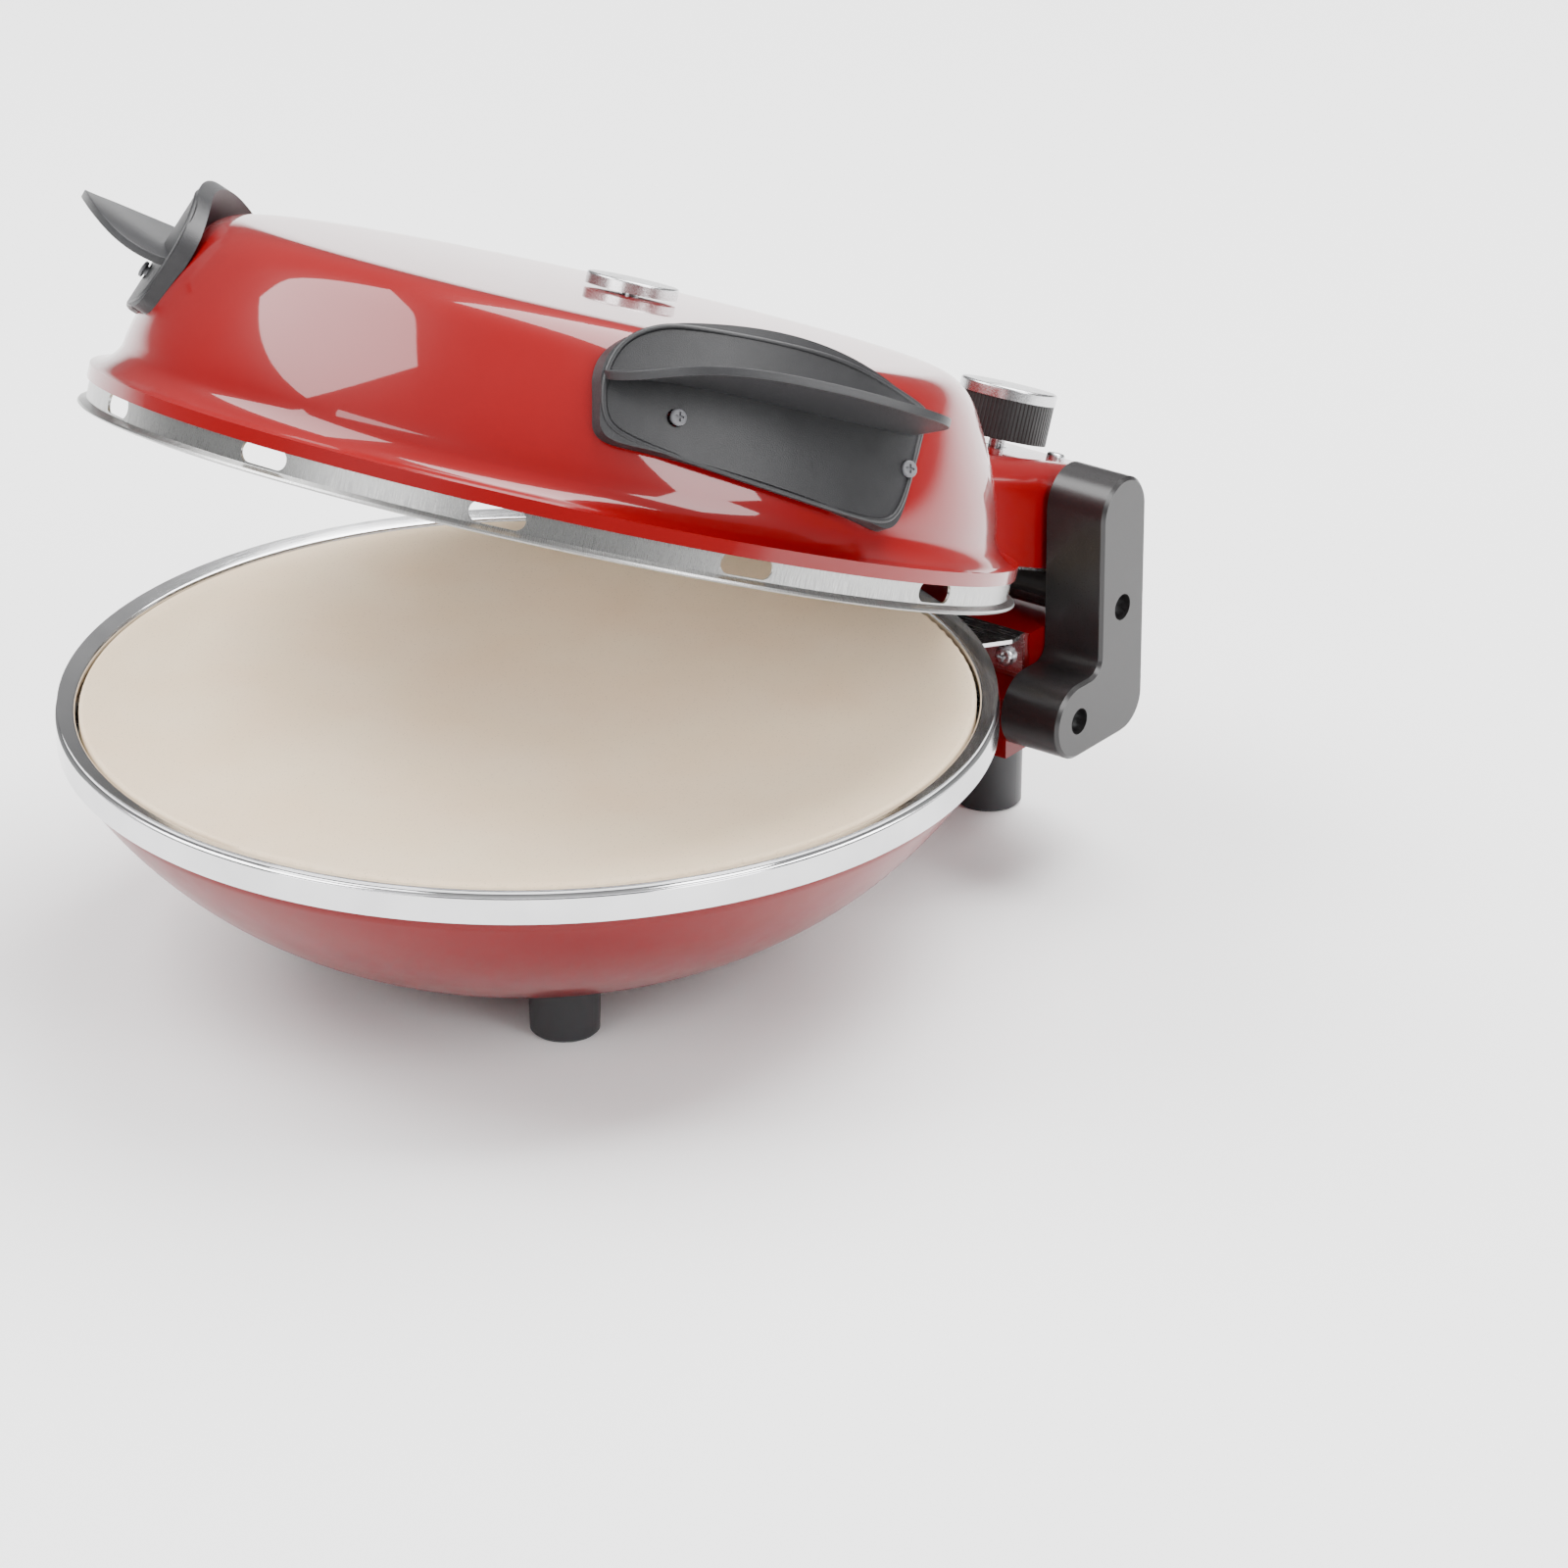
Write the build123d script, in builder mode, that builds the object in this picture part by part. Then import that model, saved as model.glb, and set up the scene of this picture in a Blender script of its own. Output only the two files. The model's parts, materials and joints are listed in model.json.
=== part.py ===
"""Countertop pizza oven: a stone-floored bowl under a hinged domed lid. Millimetres, +Z up.

Everything is drawn in the rim frame: origin at the centre of the lower rim, front towards -Y,
hinge towards +Y. Lid pieces are drawn with the lid shut and turned open about the hinge line
when they are saved. Saving also moves every piece so that the oven stands on z = 0.
"""
import math
import os
from build123d import *

os.makedirs("parts", exist_ok=True)

# ---- Driving dimensions ------------------------------------------------------------------
BAND_R = 163.0             # outer radius of the rim's vertical band
STONE_R = 155.0
STONE_TOP, STONE_T = -2.0, 10.0
SHEET = 1.0                # pressed steel of bowl, dome and housings
THIN = 0.8                 # reflectors
BOWL_WALL_R = 161.0        # bowl's outer radius at its upright top edge
BOWL_FLAT_Z = -79.0
BOWL_MID_Z = -54.2         # height of the bowl's outside at a radius of 125
FLOOR_Z = -95.0
BOX_X = 103.0              # half width of the rear box
BOX_FRONT, BOX_STEP, BOX_BACK = 156.0, 180.5, 202.0
BOX_TOE, BOX_BROW = 142.0, -25.5   # front of the box's lower half, and where it starts
BOX_TOP, BOX_LOW_TOP, BOX_BOTTOM = -8.0, -32.0, -50.0
NECK_X, NECK_FRONT = 58.0, 104.0
COVER_SCREWS = [(-92.0, 152.0), (92.0, 152.0), (-34.0, 194.0), (34.0, 194.0)]
GLAND_X, GLAND_Z = -66.0, -41.0
COVER_T = 1.5
PIVOT_Y, PIVOT_Z = 178.0, 1.0
LID_OPEN_DEG = 21.5        # how far the lid stands open at rest
ARM_X1 = 127.5              # outer face of the hinge arms
PIN_R, RUNNING = 4.0, 0.05
ARM_LOW_HOLE = (152.0, -34.0)
HOUSE_X, HOUSE_BACK = 101.0, 206.0
HOUSE_TOP, HOUSE_BOTTOM = 45.0, 8.0
DOME_TOP = 74.6
HEATER_R = 3.25
LOW_RING_R, HEATER_LOW_Z = 105.0, -29.0
UP_RING_R, UP_HEATER_Z = 96.0, 34.0
TAIL_ANGLE, TAIL_BEND = 75.0, 10.0   # where a heater's ring ends, and its bend to the straight
TAIL_HOLE_R = 5.0
HANDLE_AZ = 63.0           # handle's place round the lid, measured from the front
THERMOSTAT_AT = (65.0, 172.0)
TIMER_AT = (0.0, 22.0)
FRAME_SHIFT_Y = -26.10     # brings the middle of the oven's depth to y = 0

TO_FRAME = Location((0, FRAME_SHIFT_Y, -FLOOR_Z))
OPEN_LID = Location((0, PIVOT_Y, PIVOT_Z)) * Location((0, 0, 0), (-LID_OPEN_DEG, 0, 0)) * Location(
    (0, -PIVOT_Y, -PIVOT_Z)
)


def save(piece, name, on_lid=False):
    """Place one finished piece in the oven's frame and write it as its own file."""
    placed = piece.moved(TO_FRAME * OPEN_LID) if on_lid else piece.moved(TO_FRAME)
    placed.label = name
    export_step(placed, f"parts/{name}.step")


def spin_sheet(points, thickness, side):
    """Closed sketch of a pressed sheet that follows points (r, z), thickened to one side."""
    with BuildSketch(Plane.XZ) as section:
        with BuildLine():
            Polyline(*points)
            offset(amount=thickness, side=side)
        make_face()
    return section.sketch


def radial_plane(angle, radius, height):
    """Plane standing on the wall at an angle from +X, looking outwards, its X level."""
    a = math.radians(angle)
    out = (math.cos(a), math.sin(a), 0)
    return Plane(
        origin=(radius * out[0], radius * out[1], height),
        x_dir=(-out[1], out[0], 0),
        z_dir=out,
    )


def pan_screw(head_r, head_h, shank_r, shank_l):
    """Cross-recess pan-head screw: head's underside on z = 0, shank down along -Z."""
    with BuildPart(mode=Mode.PRIVATE) as screw:
        Cylinder(head_r, head_h, align=(Align.CENTER, Align.CENTER, Align.MIN))
        fillet(screw.edges().sort_by(Axis.Z)[-1], head_h * 0.6)
        Cylinder(shank_r, shank_l, align=(Align.CENTER, Align.CENTER, Align.MAX))
        with Locations((0, 0, head_h)):
            Box(head_r * 1.1, head_r * 0.28, head_h * 1.2, mode=Mode.SUBTRACT)
            Box(head_r * 0.28, head_r * 1.1, head_h * 1.2, mode=Mode.SUBTRACT)
    return screw.part


def tail_x(ring_r):
    """Distance of a heater's two straight ends from the oven's middle plane."""
    return (ring_r + TAIL_BEND) * math.cos(math.radians(TAIL_ANGLE)) - TAIL_BEND


def heater_loop(ring_r, height, tail_end_y):
    """Open tubular ring whose two ends turn out to +Y and run to tail_end_y."""
    with BuildPart(mode=Mode.PRIVATE) as half:
        with BuildLine(Plane.XY.offset(height)) as path:
            ring = CenterArc((0, 0), ring_r, -90, 90 + TAIL_ANGLE)
            turn = JernArc(ring @ 1, ring % 1, TAIL_BEND, -TAIL_ANGLE)
            Line(turn @ 1, ((turn @ 1).X, tail_end_y))
        with BuildSketch(Plane(origin=(0, -ring_r, height), z_dir=(1, 0, 0))):
            Circle(HEATER_R)
        sweep()
    with BuildPart(mode=Mode.PRIVATE) as loop:
        add(half.part)
        mirror(about=Plane.YZ)
    return loop.part


# ==========================================================================================
# Base body
# ==========================================================================================

# ---- Cutter with the bowl's outside shape, used to fit pieces against it -------------------
with BuildPart() as bowl_envelope:
    with BuildSketch(Plane.XZ):
        with BuildLine():
            Polyline((0, 20), (166, 20), (166, -14), (BOWL_WALL_R + 0.2, -14))
            ThreePointArc(
                (BOWL_WALL_R + 0.2, -14),
                (125, BOWL_MID_Z - 0.2),
                (80, BOWL_FLAT_Z - 0.1),
            )
            Polyline((80, BOWL_FLAT_Z - 0.1), (0, BOWL_FLAT_Z - 0.1), (0, 20))
        make_face()
    revolve(axis=Axis.Z)

# ---- Lower bowl: pressed red steel, upright edge, ball side, flat floor ---------------------
LOW_TAIL_X = tail_x(LOW_RING_R)
with BuildPart() as lower_bowl:
    with BuildSketch(Plane.XZ):
        with BuildLine():
            Line((BOWL_WALL_R, -4), (BOWL_WALL_R, -14))
            ThreePointArc((BOWL_WALL_R, -14), (125, BOWL_MID_Z), (80, BOWL_FLAT_Z))
            Line((80, BOWL_FLAT_Z), (0, BOWL_FLAT_Z))
            Line((0, BOWL_FLAT_Z), (0, BOWL_FLAT_Z + SHEET))
            Line((0, BOWL_FLAT_Z + SHEET), (79.6, BOWL_FLAT_Z + SHEET))
            ThreePointArc(
                (79.6, BOWL_FLAT_Z + SHEET),
                (124.4, BOWL_MID_Z + 0.85),
                (BOWL_WALL_R - SHEET, -14),
            )
            Line((BOWL_WALL_R - SHEET, -14), (BOWL_WALL_R - SHEET, -4))
            Line((BOWL_WALL_R - SHEET, -4), (BOWL_WALL_R, -4))
        make_face()
    revolve(axis=Axis.Z)
    with BuildSketch(Plane.XZ.offset(-130)):
        with Locations((-LOW_TAIL_X, HEATER_LOW_Z), (LOW_TAIL_X, HEATER_LOW_Z)):
            Circle(TAIL_HOLE_R)
    extrude(amount=-40, mode=Mode.SUBTRACT)
save(lower_bowl.part, "lower_bowl")

# ---- Lower rim ring: polished, rounded bead, sloping inner flange, upright band -------------
with BuildPart() as lower_rim_ring:
    with BuildSketch(Plane.XZ):
        with BuildLine():
            Polyline(
                (156.2, -6), (156.2, -3.2), (157.4, -1.9), (162.6, -0.2), (163.6, 0), (164.6, -0.5),
                (165, -1.6), (164.6, -2.7), (163.6, -3.2), (BAND_R, -3.6), (BAND_R, -12.5),
                (BAND_R - SHEET, -12.5), (BAND_R - SHEET, -3), (157.6, -3), (157.2, -3.4),
                (157.2, -6), (156.2, -6),
            )
        make_face()
    revolve(axis=Axis.Z)
save(lower_rim_ring.part, "lower_rim_ring")

# ---- Support ring: the ledge inside the bowl that carries the stone -------------------------
STONE_BOTTOM = STONE_TOP - STONE_T
with BuildPart() as stone_support_ring:
    with BuildSketch(Plane.XZ):
        with BuildLine():
            Polyline(
                (145, STONE_BOTTOM), (158.9, STONE_BOTTOM), (158.9, -6), (159.9, -6),
                (159.9, STONE_BOTTOM - SHEET), (145, STONE_BOTTOM - SHEET), (145, STONE_BOTTOM),
            )
        make_face()
    revolve(axis=Axis.Z)
save(stone_support_ring.part, "stone_support_ring")

# ---- Baking stone ----------------------------------------------------------------------------
with BuildPart() as baking_stone:
    with Locations((0, 0, STONE_TOP)):
        Cylinder(STONE_R, STONE_T, align=(Align.CENTER, Align.CENTER, Align.MAX))
    fillet(baking_stone.edges().sort_by(Axis.Z)[-1], 1.5)
    chamfer(baking_stone.edges().sort_by(Axis.Z)[0], 1)
save(baking_stone.part, "baking_stone")

# ---- Lower reflector dish under the heater ---------------------------------------------------
REFLECTOR_RIM_Z = STONE_BOTTOM - SHEET
with BuildPart() as lower_reflector:
    add(
        revolve(
            spin_sheet(
                [(152, REFLECTOR_RIM_Z), (147, REFLECTOR_RIM_Z), (133, -30), (118, -43), (0, -43)],
                THIN,
                Side.LEFT,
            ),
            axis=Axis.Z,
            mode=Mode.PRIVATE,
        )
    )
    with BuildSketch(Plane.XZ.offset(-110)):
        with Locations((-LOW_TAIL_X, HEATER_LOW_Z), (LOW_TAIL_X, HEATER_LOW_Z)):
            Circle(TAIL_HOLE_R)
    extrude(amount=-50, mode=Mode.SUBTRACT)
save(lower_reflector.part, "lower_reflector")

# ---- Lower heater, its clips and its insulated ends ------------------------------------------
lower_heater = heater_loop(LOW_RING_R, HEATER_LOW_Z, 160)
save(lower_heater, "lower_heater")


def heater_clip(angle, ring_r, foot_z, heater_z):
    """Saddle that holds the heater's tube off a reflector, standing on its foot."""
    reach = abs(heater_z - foot_z) + 1.0
    up = 1 if heater_z > foot_z else -1
    stand = radial_plane(angle, ring_r, (foot_z + heater_z + up) / 2)
    with BuildPart(mode=Mode.PRIVATE) as clip:
        with BuildSketch(stand):
            Rectangle(6, reach)
        extrude(amount=6, both=True)
        with BuildSketch(Plane(origin=(stand.origin.X, stand.origin.Y, heater_z), z_dir=stand.x_dir)):
            Circle(HEATER_R + 0.08)
        extrude(amount=8, both=True, mode=Mode.SUBTRACT)
    return clip.part


REFLECTOR_FLOOR = -43.0
with BuildPart() as lower_heater_clips:
    for clip_angle in (-90, 30, 150):
        add(heater_clip(clip_angle, LOW_RING_R, REFLECTOR_FLOOR, HEATER_LOW_Z))
save(lower_heater_clips.part, "lower_heater_clips")

with BuildPart() as lower_heater_terminals:
    for side in (-1, 1):
        with BuildSketch(Plane(origin=(side * LOW_TAIL_X, 160, HEATER_LOW_Z), z_dir=(0, 1, 0))):
            Circle(4.6)
        extrude(amount=5)
        with BuildSketch(Plane(origin=(side * LOW_TAIL_X, 165, HEATER_LOW_Z), z_dir=(0, 1, 0))):
            Rectangle(6.3, 0.8)
        extrude(amount=7)
save(lower_heater_terminals.part, "lower_heater_terminals")

# ---- Rear box: red steel housing behind the bowl, with a low step for the lid ----------------
def rear_box_profile(inset):
    """Outline (y, z) of the box's widest part, moved inwards by inset."""
    low = BOX_BOTTOM if inset == 0 else BOX_BOTTOM - 10
    return [
        (BOX_FRONT + inset, BOX_TOP - inset),
        (BOX_STEP - inset, BOX_TOP - inset),
        (BOX_STEP - inset, BOX_LOW_TOP - inset),
        (BOX_BACK - inset, BOX_LOW_TOP - inset),
        (BOX_BACK - inset, low),
        (BOX_TOE + inset, low),
        (BOX_TOE + inset, BOX_BROW - 3.5 - inset),
        (BOX_FRONT + inset, BOX_BROW - inset),
        (BOX_FRONT + inset, BOX_TOP - inset),
    ]


with BuildPart() as rear_base_box:
    with BuildSketch(Plane.YZ):
        with BuildLine():
            Polyline(*rear_box_profile(0))
        make_face()
    extrude(amount=BOX_X, both=True)
    fillet(rear_base_box.edges().filter_by(Axis.Z).group_by(Axis.Y)[-1], 8)
    with BuildSketch(Plane.XY.offset(BOX_TOP)):
        with Locations((0, (NECK_FRONT + BOX_FRONT + 2) / 2)):
            Rectangle(2 * NECK_X, BOX_FRONT + 2 - NECK_FRONT)
    extrude(amount=BOX_BOTTOM - BOX_TOP)
    with BuildSketch(Plane.YZ):
        with BuildLine():
            Polyline(*rear_box_profile(SHEET))
        make_face()
    extrude(amount=BOX_X - SHEET, both=True, mode=Mode.SUBTRACT)
    with BuildSketch(Plane.XY.offset(BOX_TOP - SHEET)):
        with Locations((0, (NECK_FRONT + BOX_FRONT + 4) / 2 - 2)):
            Rectangle(2 * (NECK_X - SHEET), BOX_FRONT + 4 - NECK_FRONT)
    extrude(amount=-60, mode=Mode.SUBTRACT)
    add(bowl_envelope.part, mode=Mode.SUBTRACT)
    with BuildSketch(Plane.YZ.offset(-BOX_X - 5)):
        with Locations(ARM_LOW_HOLE):
            Circle(2.7)
    extrude(amount=2 * BOX_X + 10, mode=Mode.SUBTRACT)
    with BuildSketch(Plane.XZ.offset(-BOX_BACK - 5)):
        with Locations((GLAND_X, GLAND_Z)):
            Circle(6.05)
    extrude(amount=15, mode=Mode.SUBTRACT)
save(rear_base_box.part, "rear_base_box")

with BuildPart() as rear_base_cover:
    with BuildSketch(Plane.XY.offset(BOX_BOTTOM)):
        with Locations((0, (BOX_TOE + BOX_BACK) / 2)):
            Rectangle(2 * BOX_X, BOX_BACK - BOX_TOE)
        with Locations((0, (NECK_FRONT + BOX_TOE + 2) / 2)):
            Rectangle(2 * NECK_X, BOX_TOE + 2 - NECK_FRONT)
    extrude(amount=-COVER_T)
    fillet(rear_base_cover.edges().filter_by(Axis.Z).group_by(Axis.Y)[-1], 8)
    add(bowl_envelope.part, mode=Mode.SUBTRACT)
    with Locations(*[(x, y, BOX_BOTTOM) for x, y in COVER_SCREWS]):
        Hole(1.6)
save(rear_base_cover.part, "rear_base_cover")

with BuildPart() as cover_screws:
    cover_screw = pan_screw(3.0, 1.8, 1.5, 7.0)
    for x, y in COVER_SCREWS:
        add(Location((x, y, BOX_BOTTOM - COVER_T), (180, 0, 0)) * cover_screw)
save(cover_screws.part, "cover_screws")

# ---- Tabs that tie the rim to the box, each with a screw facing forwards ----------------------
TAB_HOLE_X, TAB_HOLE_Z = 94.0, -18.0
with BuildPart() as rim_tabs:
    for side in (-1, 1):
        with BuildSketch(Plane.XY.offset(BOX_TOP)):
            with BuildLine():
                Polyline(
                    (side * 70, BOX_FRONT), (side * 101, BOX_FRONT), (side * 101, 148),
                    (side * 90, 132), (side * 70, 140), (side * 70, BOX_FRONT),
                )
            make_face()
        extrude(amount=-1.5)
        with BuildSketch(Plane.XZ.offset(-BOX_FRONT)):
            with BuildLine():
                Polyline(
                    (side * 82, BOX_TOP), (side * 101, BOX_TOP), (side * 101, -22),
                    (side * 98, -25.5), (side * 90, -25.5), (side * 82, -16), (side * 82, BOX_TOP),
                )
            make_face()
        extrude(amount=1.5)
    with BuildSketch(Plane.XY.offset(0)):
        Circle(BAND_R + 0.05)
    extrude(amount=-40, mode=Mode.SUBTRACT)
    with BuildSketch(Plane.XZ.offset(-BOX_FRONT - 1)):
        with Locations((-TAB_HOLE_X, TAB_HOLE_Z), (TAB_HOLE_X, TAB_HOLE_Z)):
            Circle(2.1)
    extrude(amount=5, mode=Mode.SUBTRACT)
save(rim_tabs.part, "rim_tabs")

with BuildPart() as rim_tab_screws:
    tab_screw = pan_screw(3.8, 2.4, 2.0, 1.5)
    for side in (-1, 1):
        add(Location((side * TAB_HOLE_X, BOX_FRONT - 1.5, TAB_HOLE_Z), (90, 0, 0)) * tab_screw)
save(rim_tab_screws.part, "rim_tab_screws")

# ---- Feet -------------------------------------------------------------------------------------
FRONT_FOOT, REAR_FOOT = (54.5, -51.0), (64.0, 188.0)
FOOT_R, FOOT_TIP_R = 12.5, 12.0
FOOT_WELL, FOOT_WELL_R = 8.0, 5.0
FOOT_SCREW_R = 2.0


def foot(x, y, top):
    """Tapered plastic foot with a screw well, fitted against whatever it stands under."""
    with BuildPart(mode=Mode.PRIVATE) as leg:
        with Locations((x, y, FLOOR_Z)):
            Cone(FOOT_TIP_R, FOOT_R, top - FLOOR_Z, align=(Align.CENTER, Align.CENTER, Align.MIN))
        chamfer(leg.edges().sort_by(Axis.Z)[0], 1.0)
        with Locations((x, y, FLOOR_Z)):
            Cylinder(FOOT_WELL_R, FOOT_WELL, align=(Align.CENTER, Align.CENTER, Align.MIN), mode=Mode.SUBTRACT)
            Cylinder(FOOT_SCREW_R, 90, align=(Align.CENTER, Align.CENTER, Align.MIN), mode=Mode.SUBTRACT)
        add(bowl_envelope.part, mode=Mode.SUBTRACT)
    return leg.part


for tag, side in (("left", -1), ("right", 1)):
    save(foot(side * FRONT_FOOT[0], FRONT_FOOT[1], -70.0), f"foot_front_{tag}")
    save(foot(side * REAR_FOOT[0], REAR_FOOT[1], BOX_BOTTOM - COVER_T), f"foot_rear_{tag}")

with BuildPart() as foot_screws:
    short_screw = pan_screw(4.0, 2.6, 2.0, 8.0)
    long_screw = pan_screw(4.0, 2.6, 2.0, 35.0)
    for side in (-1, 1):
        head_z = FLOOR_Z + FOOT_WELL
        add(Location((side * FRONT_FOOT[0], FRONT_FOOT[1], head_z), (180, 0, 0)) * short_screw)
        add(Location((side * REAR_FOOT[0], REAR_FOOT[1], head_z), (180, 0, 0)) * long_screw)
save(foot_screws.part, "foot_screws")

# ---- Hinge side plates and moulded arms ---------------------------------------------------------
PLATE_X0, PLATE_X1 = BOX_X, 105.2
ARM_WALL = 2.5
BORE_BOSS_R = 8.0


def arm_outline(grow):
    """Side view (y, z) of a hinge arm: upright with a rounded top and a toe to the front."""
    with BuildSketch(mode=Mode.PRIVATE) as outline:
        with Locations((178.5, 12)):
            SlotOverall(76, 27, rotation=90)
        with BuildLine():
            Polyline((165, 10), (192, 10), (192, -35), (179, -48), (152, -48), (138, -34), (152, -20))
            FilletPolyline((152, -20), (165, -20), (165, 10), radius=6)
        make_face()
        with Locations((152, -34)):
            Circle(14)
        with Locations((179, -35)):
            Circle(13)
        if grow:
            offset(amount=grow)
    return outline.sketch


for tag, side in (("left", -1), ("right", 1)):
    with BuildPart() as hinge_plate:
        with BuildSketch(Plane.YZ.offset(side * PLATE_X0)):
            add(arm_outline(-ARM_WALL - 0.3))
            with Locations(ARM_LOW_HOLE):
                Circle(2.6, mode=Mode.SUBTRACT)
            with Locations((PIVOT_Y, PIVOT_Z)):
                Circle(PIN_R, mode=Mode.SUBTRACT)
        extrude(amount=side * (PLATE_X1 - PLATE_X0))
    save(hinge_plate.part, f"hinge_plate_{tag}")

    with BuildPart() as hinge_arm:
        with BuildSketch(Plane.YZ.offset(side * (PLATE_X0 + 0.4))):
            add(arm_outline(0))
        extrude(amount=side * (ARM_X1 - PLATE_X0 - 0.4))
        outer_face = hinge_arm.faces().sort_by(Axis.X)[-1 if side > 0 else 0]
        chamfer(outer_face.edges(), 1.2)
        with BuildSketch(Plane.YZ.offset(side * (PLATE_X0 - 1))):
            add(arm_outline(-ARM_WALL))
            with Locations(ARM_LOW_HOLE, (PIVOT_Y, PIVOT_Z)):
                Circle(BORE_BOSS_R, mode=Mode.SUBTRACT)
        extrude(amount=side * (ARM_X1 - ARM_WALL - PLATE_X0 + 1), mode=Mode.SUBTRACT)
        with BuildSketch(Plane.YZ.offset(side * (PLATE_X0 - 1))):
            with Locations(ARM_LOW_HOLE, (PIVOT_Y, PIVOT_Z)):
                Circle(BORE_BOSS_R + 1)
        extrude(amount=side * (PLATE_X1 - PLATE_X0 + 1), mode=Mode.SUBTRACT)
        with BuildSketch(Plane.YZ.offset(side * PLATE_X0)):
            with Locations(ARM_LOW_HOLE):
                Circle(2.5)
            with Locations((PIVOT_Y, PIVOT_Z)):
                Circle(PIN_R)
        extrude(amount=side * 30, mode=Mode.SUBTRACT)
        with BuildSketch(Plane.YZ.offset(side * 119)):
            with Locations(ARM_LOW_HOLE, (PIVOT_Y, PIVOT_Z)):
                Circle(4.8)
        extrude(amount=side * 12, mode=Mode.SUBTRACT)
    save(hinge_arm.part, f"hinge_arm_{tag}")

    with BuildPart() as hinge_pin:
        pin_body = pan_screw(4.6, 2.8, PIN_R, 29.0)
        add(Location((side * 119, PIVOT_Y, PIVOT_Z), (0, side * 90, 0)) * pin_body)
    save(hinge_pin.part, f"hinge_pin_{tag}")

with BuildPart() as hinge_washers:
    for side in (-1, 1):
        with BuildSketch(Plane.YZ.offset(side * (BOX_X - 0.1))):
            with Locations((PIVOT_Y, PIVOT_Z)):
                Circle(7.5)
                Circle(PIN_R, mode=Mode.SUBTRACT)
        extrude(amount=-side * 1.1)
save(hinge_washers.part, "hinge_washers")

with BuildPart() as arm_screws:
    arm_screw = pan_screw(4.6, 3.0, 2.5, 22.0)
    for side in (-1, 1):
        add(Location((side * 119, *ARM_LOW_HOLE), (0, side * 90, 0)) * arm_screw)
save(arm_screws.part, "arm_screws")

with BuildPart() as arm_nuts:
    for side in (-1, 1):
        with BuildSketch(Plane.YZ.offset(side * (BOX_X - SHEET))):
            with Locations(ARM_LOW_HOLE):
                RegularPolygon(4.0, 6)
                Circle(2.5, mode=Mode.SUBTRACT)
        extrude(amount=-side * 4)
save(arm_nuts.part, "arm_nuts")

# ---- Supply: gland in the back wall, terminal block and thermal fuse inside ---------------------
with BuildPart() as cord_gland:
    with BuildSketch(Plane.XZ.offset(-BOX_BACK)):
        with Locations((GLAND_X, GLAND_Z)):
            Circle(8)
    extrude(amount=-4)
    with BuildSketch(Plane.XZ.offset(-BOX_BACK + SHEET)):
        with Locations((GLAND_X, GLAND_Z)):
            Circle(6)
    extrude(amount=-SHEET)
    with BuildSketch(Plane.XZ.offset(-BOX_BACK + SHEET)):
        with Locations((GLAND_X, GLAND_Z)):
            Circle(7.5)
    extrude(amount=3)
    with BuildSketch(Plane.XZ.offset(-BOX_BACK - 4)):
        with Locations((GLAND_X, GLAND_Z)):
            Circle(6)
    extrude(amount=-10, taper=8)
    with BuildSketch(Plane.XZ.offset(-BOX_BACK - 15)):
        with Locations((GLAND_X, GLAND_Z)):
            Circle(3.3)
    extrude(amount=30, mode=Mode.SUBTRACT)
save(cord_gland.part, "cord_gland")

with BuildPart() as terminal_block:
    with Locations((0, 190, BOX_BOTTOM)):
        Box(34, 14, 11, align=(Align.CENTER, Align.CENTER, Align.MIN))
    with Locations(*[(x, 190, BOX_BOTTOM + 11) for x in (-11, 0, 11)]):
        CounterBoreHole(1.4, 2.6, 3.0, depth=7)
save(terminal_block.part, "terminal_block")

with BuildPart() as thermal_fuse:
    with BuildSketch(Plane(origin=(-9, 162, BOX_BOTTOM + 2.2), z_dir=(1, 0, 0))):
        Circle(2.2)
    extrude(amount=18)
save(thermal_fuse.part, "thermal_fuse")

# ==========================================================================================
# Lid body, drawn shut
# ==========================================================================================


def dome_outline(grow):
    """Closed (r, z) section of everything within the dome's outside, grown by grow."""
    with BuildSketch(Plane.XZ, mode=Mode.PRIVATE) as section:
        with BuildLine():
            Line((0, 9.5), (162.6 + grow, 9.5))
            Line((162.6 + grow, 9.5), (162.6 + grow, 14.2 + grow))
            ThreePointArc(
                (162.6 + grow, 14.2 + grow), (156.4 + grow, 17.0 + grow), (152.9 + grow, 22.6)
            )
            Spline(
                (152.9 + grow, 22.6),
                (149.4 + grow, 36.0),
                (142.3 + grow, 53.0),
                (137.2 + grow * 0.8, 62.0 + grow * 0.6),
                tangents=((-0.08, 1), (-0.62, 1)),
            )
            Spline(
                (137.2 + grow * 0.8, 62.0 + grow * 0.6),
                (122.0 + grow * 0.2, 73.0 + grow),
                tangents=((-0.62, 1), (-1, 0.1)),
            )
            ThreePointArc(
                (122.0 + grow * 0.2, 73.0 + grow), (61, 74.2 + grow), (0, DOME_TOP + grow)
            )
            Line((0, DOME_TOP + grow), (0, 9.5))
        make_face()
    return section.sketch


with BuildPart() as dome_envelope:
    add(revolve(dome_outline(0.15), axis=Axis.Z, mode=Mode.PRIVATE))

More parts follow.
